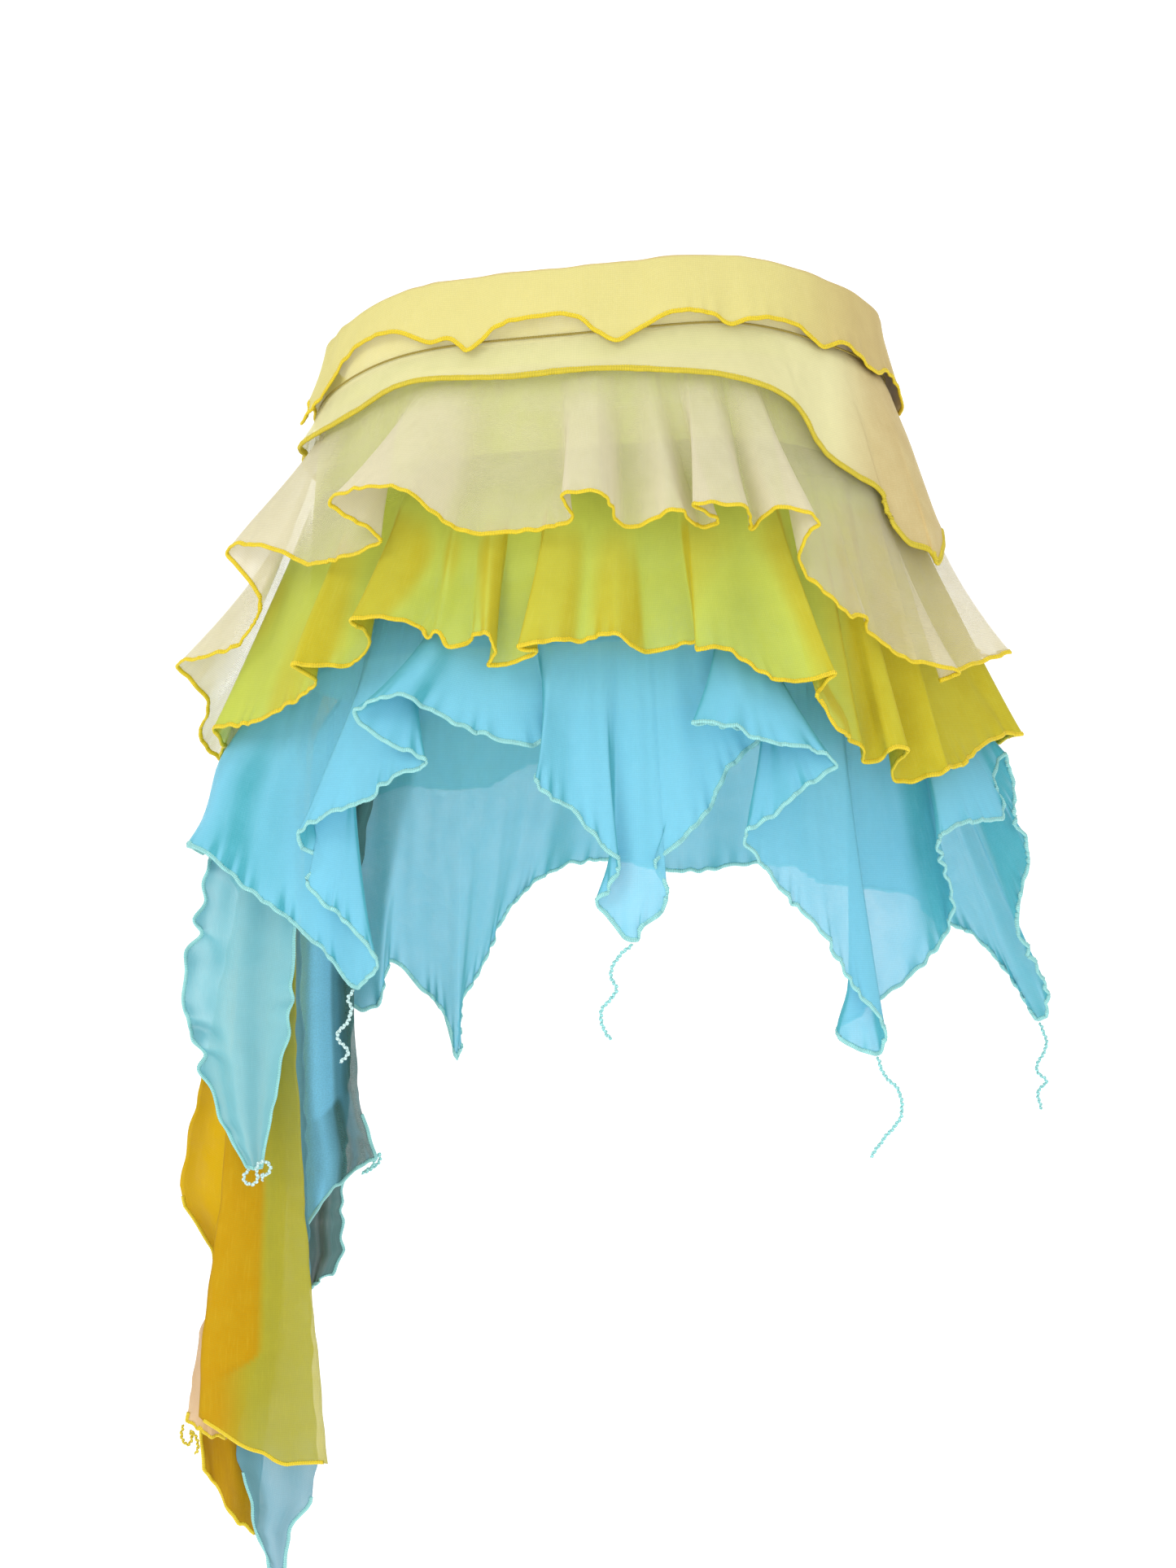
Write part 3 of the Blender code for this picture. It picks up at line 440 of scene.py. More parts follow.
# A row is one cloth: its colour, its deep colour and the pale one of its streaks. Its covers are
# how much each face of it hides where it lies flat, where it stands proud, at its seam and at the
# wearer's right, where the higher cover turns it toward its deep colour as painted shade. Between
# its lifts off the layers beneath it goes from flat to proud, and its fade is a second colour
# between two drops in metres.
Cloth = namedtuple(
    "Cloth", "colour deep pale flat proud seam right lifts fade",
    defaults=(0.8, 0.8, 0.8, None, (8.0, 30.0), None),
)
CLOTHS = {
    # The band and the overlay turn tan toward the wearer's right: painted shade, warmed like skin
    # seen through them.
    "butter": Cloth("butter", "tan", (1.0, 0.94, 0.55), 0.70, 0.70, 0.70, 0.86),
    "lime": Cloth("overlay", "tan", (1.0, 0.95, 0.6), 0.46, 0.46, 0.46, 0.84),
    "ivory": Cloth("ivory", None, (1.0, 0.96, 0.9), 0.28, 0.44, 0.24, None, (6.0, 20.0)),
    # The golden frill turns mustard on the steep sides of its folds, partly doubled cloth and partly
    # painted shade, and toward the wearer's right as painted shade.
    "gold": Cloth("chartreuse", "mustard", (1.0, 0.95, 0.2), 0.56, 0.80, 0.10, 0.84, (7.0, 22.0)),
    # The aqua frill turns deep aqua on the steep sides of its folds: partly doubled cloth, partly
    # painted shade.
    "aqua": Cloth("aqua", "deep_aqua", (0.45, 0.8, 0.95), 0.62, 0.68, 0.56),
    "mint": Cloth("lime", None, (0.9, 0.95, 0.5), 0.88, 0.88, 0.88, fade=("aqua", 0.100, 0.130)),
    "petal_aqua": Cloth("pale_aqua", "deep_aqua", (0.6, 0.9, 0.95)),
    # The side, under and tail panels are the same aqua cloth, given teal and mist as painted shade;
    # only the side panel's dense left keeps the aqua's own colour.
    "side_aqua": Cloth("teal", "side_aqua", (0.5, 0.85, 0.95)),
    "under_aqua": Cloth("teal", None, (0.5, 0.85, 0.95)),
    "tail_aqua": Cloth("mist", "teal", (0.4, 0.7, 0.8)),
    "front_gold": Cloth("ochre", "deep_gold", (1.0, 0.8, 0.1)),
    # The rear golden panel takes a brighter gold than the front one, as painted light against the
    # shade it hangs in.
    "back_gold": Cloth("gold", None, (1.0, 0.8, 0.1), fade=("bronze", 0.385, 0.42)),
    "peach": Cloth("peach", None, (1.0, 0.9, 0.7)),
}

# Cover where a cloth's colour begins to turn into its deep colour, and where it has turned; the
# deep colour is partly doubled cloth and partly painted shade
DEEP_FROM = 0.70
DEEP_TO = 0.90

# Drop over which a gathered cloth gains its cover below the seam, and the cover of the lowest
# frill on the far side, which is gathered more closely there and darker with it, partly as painted
# shade. The cover for the wearer's right, which paints shade there, is reached between two places
# toward +X.
SEAM_FADE = 34.0
FAR_SHADED_COVER = 0.74
SHADED_RIGHT_FROM = 70.0
SHADED_RIGHT_TO = 165.0

# A row is one soft pattern: its stretch, scale and detail, between which of its values a tint
# comes in, how strong that is, and how light it is beside its colour
Pattern = namedtuple("Pattern", "stretch scale detail low high share light")
MOTTLE = Pattern((1.0, 1.0), 55.0, 3.0, 0.35, 0.7, 0.10, 0.82)
STREAKS = Pattern((9.0, 1.0), 60.0, 2.0, 0.5, 0.75, 0.06, 1.0)
GRAIN = Pattern((1.0, 1.0), 900.0, 2.0, 0.35, 0.7, 0.16, 0.84)
THREAD_PATCHES = Pattern((1.0, 0.02), 220.0, 2.0, 0.4, 0.75, 0.25, 1.25)
BOARD_PATCHES = Pattern((1.0, 1.0), 1.4, 2.0, 0.3, 0.7, 0.3, 0.985)

# How far apart the wales of the mesh are in metres, the courses beside that, and how much the
# weave and the mottling change its cover either way
KNIT = 0.0009
COURSES = 1.25
WEAVE_COVER = 0.05
MOTTLE_COVER = 0.03

# Slant of an overlock stitch in degrees, and how dark the thread is between stitches, which is
# painted shade in the gaps between its wraps
STITCH_SLANT = 24.0
WRAP_SHADE = 0.62

# How far apart the bands of a wave texture are at scale 1
BAND_PITCH = 2.0 * math.pi / 20.0

# A row is one cloth that goes all round: what it stands for, how it is held, the seed of its
# waves, the height of its gathers and share of its curls, its thread and the share of its edge
Tube = namedtuple(
    "Tube", "name node cloth held seed gathers curls thread edge rests_on", defaults=("base_tube",),
)
TUBES = {
    "base": Tube(
        "inner_tube", "base_tube", "mint", "stretched", 0.3, 0.0, 0.4, "aqua", 0.7, "waistband",
    ),
    "tier_3": Tube("aqua_frill", "tier_3_aqua", "aqua", "gathered", 1.9, 0.5, 1.2, "aqua", 0.9),
    "tier_2": Tube("gold_frill", "tier_2_gold", "gold", "gathered", 4.2, 0.5, 0.8, "yellow", 0.9),
    "tier_1": Tube(
        "ivory_frill", "tier_1_ivory", "ivory", "gathered", 6.1, 0.5, 0.7, "yellow", 0.9,
    ),
    "yoke": Tube("overlay", "yoke_overlay", "lime", "hung", 2.7, 0.0, 0.1, "olive", 1.3),
    "band": Tube("fold_over_band", "waistband", "butter", "folded", 3.4, 0.0, 0.4, "yellow", 0.9),
}

# Seeds of the panels' waves: the first and the step to the next
PANEL_SEED = 0.8
PANEL_SEED_STEP = 1.7

# A row is how one hanging panel is finished: the heights where the stitching of its left and right
# edges begins, how deep its left edge, right edge and hem curl and how far apart, and the height
# where its edges go smooth. Its split is the share across where the left gives way to the right.
# Its covers are how much each face hides at its left and right, first above its foot and then
# below it, and last is the height of that foot.
Finish = namedtuple(
    "Finish", "cloth sewn left right hem pitch smooth_from split upper lower foot_from",
)
FINISHES = {
    "cascade_petal": Finish("petal_aqua", (-200, -200), 4.4, 1.6, 0.6, 27.0, -415.0,
                            (0.3, 0.7), (0.74, 0.70), (0.74, 0.68), -380.0),
    "cascade_gold_front": Finish("front_gold", (-900, -900), 0.5, 0.5, 0.9, 30.0, -800.0,
                                 (0.38, 0.60), (0.95, 0.66), (0.92, 0.64), -612.0),
    "cascade_ivory": Finish("peach", (-636, -900), 0.6, 0.5, 1.4, 16.0, -800.0,
                            (0.3, 0.7), (0.72, 0.72), (0.72, 0.72), -600.0),
    "cascade_aqua_tail": Finish("tail_aqua", (-676, -690), 1.2, 1.2, 1.2, 24.0, -800.0,
                                (0.2, 0.8), (0.78, 0.68), (0.74, 0.66), -640.0),
    "cascade_gold_back": Finish("back_gold", (-512, -900), 1.0, 0.6, 1.2, 30.0, -800.0,
                                (0.0, 0.4), (0.90, 0.95), (0.96, 0.96), -560.0),
    # The side panel is dense on its left, where it keeps the aqua's own colour, and thin on its
    # right, where it shows the teal of painted shade.
    "cascade_aqua_side": Finish("side_aqua", (-900, -462), 0.6, 0.9, 1.4, 26.0, -800.0,
                                (0.4, 0.85), (0.94, 0.66), (0.94, 0.70), -470.0),
    "cascade_aqua_under": Finish("under_aqua", (-900, -480), 0.6, 1.4, 1.4, 20.0, -800.0,
                                 (0.2, 0.8), (0.82, 0.76), (0.80, 0.76), -540.0),
}

# A row is one soft light: its place in metres, its side length and its power in watts
Light = namedtuple("Light", "name place size power")
LIGHTS = (
    Light("key_light", (-2.0, -2.0, 1.4), 1.5, 24.0),
    Light("fill_light", (0.6, -2.8, -0.3), 2.0, 12.0),
    Light("top_light", (0.0, -0.5, 2.2), 1.6, 14.0),
    Light("rear_light", (0.6, 2.6, 0.9), 1.6, 6.0),
)

# Camera film in millimetres, then the floor in metres: its middle, its size, how near its edge
# counts as on it, the rise and bend of its backdrop, and how much its board glows
FILM_HEIGHT = 36.0
FLOOR_MIDDLE = -1.0
FLOOR_SIZE = 12.0
FLOOR_SLACK = 0.01
BACKDROP_RISE = 8.0
BACKDROP_BEND = 2.0
BACKDROP_SEGMENTS = 16
BOARD_GLOW = 0.3
STAGE_WHITE = (250, 250, 250)


def screen_colour(values):
    """Scene colour of screen values from 0 to 255."""
    linear = []
    for value in values:
        share = value / 255.0
        linear.append(share / 12.92 if share <= 0.04045 else ((share + 0.055) / 1.055) ** 2.4)
    return tuple(linear)


def colour_property(name, description, *values):
    return FloatVectorProperty(
        name=name, description=description, subtype="COLOR", size=3, min=0.0, max=1.0,
        default=screen_colour(values),
    )


def length_property(name, description, default, low, high):
    return FloatProperty(
        name=name, description=description, default=default, min=low, max=high,
        unit="LENGTH", subtype="DISTANCE",
    )


def count_property(name, description, default, low, high):
    return IntProperty(name=name, description=description, default=default, min=low, max=high)


class SkirtSizes(bpy.types.PropertyGroup):
    cloth: length_property("Cloth", "Thickness of the mesh cloth", 0.0005, 0.0002, 0.002)
    edge_width: length_property(
        "Edge width", "Width of the stitched edge along the cloth", 0.0034, 0.001, 0.005,
    )
    edge_height: length_property(
        "Edge height", "Thickness of the stitched edge", 0.0021, 0.0006, 0.004,
    )
    stitch: length_property("Stitch", "Length of one overlock stitch", 0.0016, 0.001, 0.004)
    curl: length_property("Curl", "Height of the small curls along an edge", 0.0014, 0.0, 0.004)
    curl_pitch: length_property("Curl pitch", "Length of one small curl", 0.013, 0.005, 0.04)
    crease: length_property("Crease", "Height of the creases down the cloth", 0.0007, 0.0, 0.003)
    column_step: length_property(
        "Column step", "Largest step of the cloth's grid round a hem", 0.0018, 0.001, 0.02,
    )
    rows: count_property("Rows", "Rows of a frill's grid from seam to hem", 24, 6, 80)
    panel_rows: count_property("Panel rows", "Rows of a hanging panel's grid", 150, 9, 400)
    panel_columns: count_property("Panel columns", "Columns of a hanging panel's grid", 28, 6, 80)


class SkirtColours(bpy.types.PropertyGroup):
    butter: colour_property("Butter", "Cloth of the waistband", 234, 224, 146)
    overlay: colour_property("Overlay", "Cloth of the overlay under the band", 246, 240, 186)
    ivory: colour_property("Ivory", "Cloth of the first frill", 232, 224, 192)
    chartreuse: colour_property("Chartreuse", "Golden frill where it is single", 210, 220, 92)
    # Golden frill on the steep sides of its folds and toward the wearer's right: partly doubled
    # cloth, partly painted shade.
    mustard: colour_property("Mustard", "Golden frill where it is folded", 202, 186, 42)
    ochre: colour_property("Ochre", "Front golden panel where it is single", 186, 178, 52)
    # Brighter copy of the gold cloth for the rear panel: painted light against the shade it hangs
    # in.
    gold: colour_property("Gold", "Rear golden panel", 222, 180, 6)
    bronze: colour_property("Bronze", "Foot of the rear golden panel", 172, 128, 0)
    deep_gold: colour_property("Deep gold", "Front golden panel where it is doubled", 198, 149, 0)
    # Painted shade of the yellow cloth toward the wearer's right, warmed like skin seen through it.
    tan: colour_property("Tan", "Yellow cloth toward the right", 208, 182, 124)
    peach: colour_property("Peach", "Ivory panel over the golden ones", 226, 190, 138)
    aqua: colour_property("Aqua", "Lowest frill, and the foot of the inner tube", 136, 216, 240)
    # Aqua cloth where it is folded: partly doubled cloth, partly painted shade in the folds.
    deep_aqua: colour_property("Deep aqua", "Aqua cloth where it is folded", 82, 178, 192)
    pale_aqua: colour_property("Pale aqua", "Front aqua panel", 150, 212, 222)
    # Darker, duller copy of the aqua cloth on the tail panel: painted shade.
    mist: colour_property("Mist", "Aqua tail panel", 114, 172, 190)
    # Side panel on its dense left, in the aqua's own colour beside the painted shade of its right.
    side_aqua: colour_property("Side aqua", "Side panel where it is doubled", 138, 214, 244)
    # Dark copy of the aqua cloth as painted shade: all of the under panel, the right of the side
    # panel and the deep folds of the tail.
    teal: colour_property("Teal", "Rear aqua panels where they are single", 72, 116, 114)
    lime: colour_property("Lime", "Upper part of the inner tube", 212, 220, 108)
    yellow_thread: colour_property("Yellow thread", "Overlock of the yellow edges", 246, 216, 40)
    olive_thread: colour_property("Olive thread", "Overlock of the overlay's edge", 226, 204, 52)
    aqua_thread: colour_property("Aqua thread", "Overlock of the aqua edges", 160, 228, 226)
    pale_thread: colour_property("Pale thread", "Palest loose ends of the overlock", 208, 240, 238)
    seam_thread: colour_property("Seam thread", "Stitch line under the band", 168, 148, 62)


class SkirtStage(bpy.types.PropertyGroup):
    distance: length_property(
        "Camera distance", "From the camera to the middle of the skirt", 1.6, 0.5, 6.0,
    )
    side: length_property(
        "Camera side", "How far the camera stands to the right", -0.0094, -1.0, 1.0,
    )
    height: length_property("Camera height", "Height of the level camera", -0.2609, -2.0, 2.0)
    view_height: length_property(
        "View height", "Height that the picture covers at the skirt's middle", 0.925, 0.2, 4.0,
    )
    floor: length_property("Floor", "Height of the floor", -1.25, -3.0, 0.0)
    daylight: FloatProperty(
        name="Daylight", description="Brightness of the even light from all round", default=0.8,
        min=0.0, max=3.0,
    )


def sizes():
    return bpy.context.scene.skirt_sizes


def stage():
    return bpy.context.scene.skirt_stage


def colour_of(key):
    return tuple(getattr(bpy.context.scene.skirt_colours, key))


def unit(vectors):
    """The same directions, each of length one."""
    return vectors / np.maximum(np.linalg.norm(vectors, axis=-1, keepdims=True), 1e-9)


def eased(value, low, high):
    """Smooth step from 0 at the low value to 1 at the high one."""
    share = np.clip((value - low) / (high - low), 0.0, 1.0)
    return share * share * (3.0 - 2.0 * share)


def blend(first, second, share):
    return first * (1.0 - share) + second * share


def steps_between(points, wrap, axis):
    """Difference between the two neighbours of each point, round the cloth where it wraps."""
    if wrap:
        return np.roll(points, -1, axis=axis) - np.roll(points, 1, axis=axis)
    return np.gradient(points, axis=axis)


def hip_sizes(heights):
    """Half width and half depth of the hip line at each height."""
    levels, widths, depths = zip(*HIPS)
    return np.interp(heights, levels, widths), np.interp(heights, levels, depths)


def place(skin):
    """Turn (bearing, stand-off, height) into x, y, z, all in millimetres."""
    widths, depths = hip_sizes(skin[..., 2])
    angles = np.radians(skin[..., 0])
    x = (widths + skin[..., 1]) * np.sin(angles)
    y = -(depths + skin[..., 1]) * np.cos(angles)
    return np.stack((x, y, skin[..., 2]), axis=-1)


def unplace(points):
    """Turn x, y, z back into (bearing, stand-off, height), by halving the range of stand-offs."""
    widths, depths = hip_sizes(points[..., 2])
    low, high = (np.full(widths.shape, stand) for stand in STAND_RANGE)
    for _ in range(HALVINGS):
        middle = (low + high) * 0.5
        x, y = points[..., 0] / (widths + middle), points[..., 1] / (depths + middle)
        outside = x ** 2 + y ** 2 > 1.0
        low = np.where(outside, middle, low)
        high = np.where(outside, high, middle)
    across = points[..., 0] / (widths + low)
    along = -points[..., 1] / (depths + low)
    return np.stack((np.degrees(np.arctan2(across, along)), low, points[..., 2]), axis=-1)


def waist_rise(bearings):
    """Height of the sloping waist, with the low crests that the top fold makes over the hips."""
    angles = np.radians(bearings)
    rise = BACK_RISE * np.cos(angles) + SIDE_RISE * np.sin(angles)
    for crest in CRESTS:
        nearness = np.cos(angles - math.radians(crest.bearing)) - 1.0
        rise = rise + crest.rise * np.exp(crest.sharpness * nearness)
    return rise


def seam_height(bearings, level):
    """Height of a seam: it follows the sloping waist less and less further down."""
    share = 1.0 + SLOPE_LOST * (level - TOP_LEVEL) / SLOPE_DROP
    return level + waist_rise(bearings) * share


def smooth_loop(folds, longest):
    """Closed curve through the places of the folds, with more steps where they are far apart."""
    points = np.array([point for fold in folds for point in fold], dtype=float)
    count = len(points)
    turn = np.array((360.0, 0.0, 0.0))
    scale = np.array((DEGREE_LENGTH, 1.0, 1.0))
    around = [points[i % count] + turn * (i // count) for i in range(-1, count + 2)]
    gaps = [np.linalg.norm((b - a) * scale) for a, b in zip(around, around[1:])]
    knots = [math.sqrt(max(gap, 1e-6)) for gap in gaps]
    result = []
    for i in range(count):
        before, start, end, after = around[i:i + 4]
        k0, k1, k2 = knots[i:i + 3]
        slope_0 = ((start - before) / k0 * k1 + (end - start) / k1 * k0) / (k0 + k1) * k1
        slope_1 = ((end - start) / k1 * k2 + (after - end) / k2 * k1) / (k1 + k2) * k1
        steps = max(LEAST_STEPS, math.ceil(gaps[i + 1] / longest))
        for s in np.arange(steps) / steps:
            value = start * (2 * s ** 3 - 3 * s ** 2 + 1) + end * (3 * s ** 2 - 2 * s ** 3)
            value = value + slope_0 * (s ** 3 - 2 * s ** 2 + s) + slope_1 * (s ** 3 - s ** 2)
            result.append(value)
    return np.array(result)


def gathered_bearings(hem, spread):
    """Bearings along the seam: the strip's length is gathered evenly but follows the hem."""
    points = place(hem)
    steps = np.linalg.norm(np.roll(points, -1, axis=0) - points, axis=1)
    run = np.concatenate(((0.0,), np.cumsum(steps)))
    whole = run[-1]
    trend = 360.0 * run[:-1] / whole
    offset = hem[:, 0] - trend
    away = np.abs(run[:-1][:, None] - run[:-1][None, :])
    away = np.minimum(away, whole - away)
    weights = np.exp(-0.5 * (away / spread) ** 2) * steps[None, :]
    even = trend + (weights * offset[None, :]).sum(axis=1) / weights.sum(axis=1)
    growth = np.diff(np.concatenate((even, (even[0] + 360.0,))))
    growth = np.maximum(growth, LEAST_GATHER * 360.0 * steps / whole)
    growth = growth * 360.0 / growth.sum()
    seam = np.concatenate(((0.0,), np.cumsum(growth)[:-1]))
    return seam + (hem[:, 0] - seam).mean()


class Cover:
    """Largest stand-off of the layers beneath, by bearing and height."""

    BEARINGS = 144
    BEARING_STEP = 360.0 / BEARINGS
    BEARING_REACH = 2
    HEIGHTS = 170
    HEIGHT_STEP = 5.0
    TOP = 60.0
    LEAST_REACH = 0.01
    EASING_LIMIT = 30.0

    def __init__(self):
        self.reach = np.zeros((self.BEARINGS, self.HEIGHTS))

    def cells(self, skin):
        """Where each place falls on the grid of bearings and heights."""
        return skin[..., 0] / self.BEARING_STEP, (self.TOP - skin[..., 2]) / self.HEIGHT_STEP

    def add(self, skin, wrap, row_steps, column_steps):
        rows = skin if not wrap else np.concatenate((skin, skin[:, :1] + (360.0, 0, 0)), axis=1)
        for s in np.linspace(0.0, 1.0, row_steps):
            down = blend(rows[:-1], rows[1:], s)
            for t in np.linspace(0.0, 1.0, column_steps):
                some = blend(down[:, :-1], down[:, 1:], t)
                i, j = (np.round(cell).astype(int) for cell in self.cells(some))
                j = np.clip(j, 0, self.HEIGHTS - 1)
                np.maximum.at(self.reach, (i % self.BEARINGS, j), some[..., 1])

    def floor(self, skin, height_reach):
        """Stand-off of the layers beneath each place, widened and smoothed."""
        wide = self.reach
        for _ in range(self.BEARING_REACH):
            wide = np.maximum(wide, np.maximum(np.roll(wide, 1, axis=0), np.roll(wide, -1, axis=0)))
        for _ in range(height_reach):
            near = wide.copy()
            near[:, 1:] = np.maximum(near[:, 1:], wide[:, :-1])
            near[:, :-1] = np.maximum(near[:, :-1], wide[:, 1:])
            wide = near
        field = wide
        for _ in range(self.BEARING_REACH):
            field = (field + np.roll(field, 1, axis=0) + np.roll(field, -1, axis=0)) / 3.0
        for _ in range(height_reach - 1):
            field[:, 1:-1] = (field[:, :-2] + field[:, 1:-1] + field[:, 2:]) / 3.0
        i, j = self.cells(skin)
        j = np.clip(j, 0.0, self.HEIGHTS - 1.001)
        s, t = i % 1.0, j % 1.0
        i, j = np.floor(i).astype(int), np.floor(j).astype(int)
        here, after = i % self.BEARINGS, (i + 1) % self.BEARINGS
        here = blend(field[here, j], field[here, j + 1], t)
        return blend(here, blend(field[after, j], field[after, j + 1], t), s)

    def lift(self, skin, easing, height_reach):
        """Push a layer out so that it clears the layers beneath by the walls of the solids."""
        here = self.floor(skin, height_reach)
        floor = here + SEAM_STAND
        over = np.clip((skin[..., 1] - floor) / easing, -self.EASING_LIMIT, self.EASING_LIMIT)
        lifted = floor + np.log1p(np.exp(over)) * easing
        out = np.where(here > self.LEAST_REACH, np.maximum(lifted, skin[..., 1]), skin[..., 1])
        out[0] = skin[0, :, 1]
        return np.stack((skin[..., 0], out, skin[..., 2]), axis=-1)


def tier_skin(tier, rows, longest):
    """Sheet from a gathered seam to a folded hem, as rows of skin positions.

    With hang, the cloth stays close for longer before it flares where it drops further.
    The rows are closer together near the hem, where the cloth curls.
    """
    hem = smooth_loop(tier.folds, longest)
    seam = gathered_bearings(hem, tier.spread)
    top = seam_height(seam, tier.level)
    drops = np.clip((top - hem[:, 2]) / FLARE_DROP, LEAST_SHARE, MOST_SHARE)
    bend = tier.flare * drops ** tier.hang
    result = []
    for t in 1.0 - (1.0 - np.linspace(0.0, 1.0, rows + 1)) ** ROW_CROWDING:
        bearing = seam + (hem[:, 0] - seam) * t ** tier.turn
        out = tier.stand + (hem[:, 1] - tier.stand) * t ** bend
        result.append(np.stack((bearing, out, blend(top, hem[:, 2], t)), axis=-1))
    return np.array(result)


def band_skin(longest):
    """Inner wall up, over the rounded top fold and down the outer flap to its wavy edge."""
    hem = smooth_loop(FLAP_FOLDS, longest)
    bearing = hem[:, 0]
    radius = FLAP_STAND * 0.5
    middle = TOP_LEVEL + waist_rise(bearing) - radius
    flat = bearing * 0.0
    rows = []
    for t in np.arange(INNER_ROWS) / INNER_ROWS:
        rows.append((flat, blend(seam_height(bearing, BAND_LEVEL), middle, t)))
    for angle in np.radians(np.linspace(180.0, 0.0, FOLD_ROWS)):
        rows.append((flat + radius + radius * math.cos(angle), middle + radius * math.sin(angle)))
    for t in np.linspace(0.0, 1.0, FLAP_ROWS + 1)[1:]:
        out = FLAP_STAND + (hem[:, 1] - FLAP_STAND) * t ** FLAP_FLARE
        rows.append((out, blend(middle, hem[:, 2], t)))
    return np.array([np.stack((bearing, out, height), axis=-1) for out, height in rows])


def base_skin():
    """Inner tube, tucked in behind the band at its top."""
    bearing = np.arange(BASE_COLUMNS) * 360.0 / BASE_COLUMNS
    top = seam_height(bearing, BASE_TOP_LEVEL)
    bottom = seam_height(bearing, BASE_BOTTOM_LEVEL)
    tube = np.array([
        np.stack((bearing, bearing * 0.0, blend(top, bottom, t)), axis=-1)
        for t in np.linspace(0.0, 1.0, BASE_ROWS + 1)
    ])
    tube[0] += (0.0, TUBE_TUCK, TUBE_OVERLAP)
    return tube


def panel_points(panel, rows, columns):
    """Hanging panel: starts gathered on the base and widens through its levels to its hem."""
    levels, *fields = zip(*reversed(panel.levels))
    u = np.linspace(0.0, 1.0, columns + 1)
    seam = panel.seam_from + (panel.seam_to - panel.seam_from) * u
    top = seam_height(seam, CASCADE_LEVEL)
    hem = np.interp(u, (0.0, 1 / 3, 2 / 3, 1.0), panel.hem)
    wave = np.sin(2.0 * math.pi * (panel.waves * u + panel.phase))
    result = []
    for t in np.arange(rows + 1) / rows:
        height = blend(top, hem, t)
        left_x, left_y, right_x, right_y, depth = (np.interp(height, levels, v) for v in fields)
        y = blend(left_y, right_y, u) + depth * wave * 0.5 * min(1.0, t * 3.0)
        hang = np.stack((blend(left_x, right_x, u), y, height), axis=-1)
        along = place(np.stack((seam, u * 0.0 + SEAM_STAND + PANEL_SWING * t, height), axis=-1))
        share = eased(top - height, 0.0, top - panel.levels[0].height)[:, None]
        result.append(blend(along, hang, share))
    return np.array(result)


def smooth_path(points):
    """Open curve through a few points."""
    points = [points[0] * 2 - points[1], *points, points[-1] * 2 - points[-2]]
    result = []
    for a, b, c, d in zip(points, points[1:], points[2:], points[3:]):
        for s in np.arange(PATH_STEPS) / PATH_STEPS:
            value = b * 2 + (c - a) * s + (a * 2 - b * 5 + c * 4 - d) * s ** 2
            value = value + (b * 3 - a - c * 3 + d) * s ** 3
            result.append(value * 0.5)
    return np.array([*result, points[-2]])


def slow_wave(slow, count, x, seed):
    return slow.size * np.sin(round(count * slow.share + 1) * x + seed * slow.pace)


def wobble(run, whole, pitch, seed):
    """Uneven wave of about the given pitch, from -1 to 1, that closes on itself."""
    count = max(1, round(whole / pitch))
    x = run / whole * 2.0 * math.pi
    bend = sum(slow_wave(slow, count, x, seed) for slow in BENDS)
    size = 1.0 - SWELL.size + slow_wave(SWELL, count, x, seed)
    return size * np.sin(count * x + bend)


def lengths_along(line, wrap):
    """Length from the first point to each point, and the whole length."""
    nexts = np.roll(line, -1, axis=0) if wrap else line[1:]
    steps = np.linalg.norm(nexts - (line if wrap else line[:-1]), axis=1)
    run = np.concatenate(((0.0,), np.cumsum(steps)))
    return (run[:-1] if wrap else run), run[-1]


def directions(points, wrap):
    """Unit directions down the cloth, along it and out of its face."""
    down, along = np.gradient(points, axis=0), steps_between(points, wrap, 1)
    return unit(down), unit(along), unit(np.cross(down, along))


def drops_below(points):
    """Length down each column to each of its points."""
    steps = np.linalg.norm(np.diff(points, axis=0), axis=-1)
    return np.concatenate((np.zeros((1, steps.shape[1])), np.cumsum(steps, axis=0)))


def dress(points, piece):
    """Add gathers at the seam, soft creases down the cloth and small curls at the hem."""
    own = sizes()
    down, _, out = directions(points, True)
    run, whole = lengths_along(points[-1], True)
    drop = drops_below(points)
    near_hem = np.exp(-((drop[-1:] - drop) / CURL_REACH) ** CURL_FALL)

    def wave(pitch, offset):
        return wobble(run, whole, pitch, piece.seed + offset)

    gather = wave(GATHER_PITCH, 0.4) * 0.5 + 0.5
    height = piece.gathers * gather * np.exp(-((drop - GATHER_DROP) / GATHER_SPREAD) ** 2)
    folds = wave(CREASE_PITCH, 1.1) * 0.7 + wave(CREASE_PITCH * 0.5, 2.3) * 0.3
    fullness = np.sin(drop / drop[-1:] * math.pi) ** 0.7
    height = height + own.crease / MILLIMETRE * folds * fullness
    pitch = own.curl_pitch / MILLIMETRE
    curl = own.curl / MILLIMETRE * piece.curls
    height = height + curl * wave(pitch, 3.7) * near_hem
    height = height + RIPPLE * piece.curls * wave(RIPPLE_PITCH, 4.9) * near_hem ** 3
    slide = CURL_SLIDE * curl * wave(pitch * SLIDE_PITCH, 5.1) * near_hem
    return points + out * height[..., None] + down * slide[..., None]


def nudge(piece, points):
    """Move the cloth near a few spots of the hem, less and less further away."""
    drop = drops_below(points)
    above = drop[-1:] - drop
    shown = eased(-points[..., 1], -SHOWN_BLEND, SHOWN_BLEND)
    moved = points.copy()
    for row in NUDGES:
        if row.piece == piece:
            away = np.hypot(points[-1, :, 0] - row.x, points[-1, :, 2] - row.height) / row.reach
            share = np.exp(-away ** 2 - ((above - row.above) / row.spread) ** 2) * shown
            moved[..., 0] += share * row.side
            moved[..., 2] -= share * row.drop
    return moved


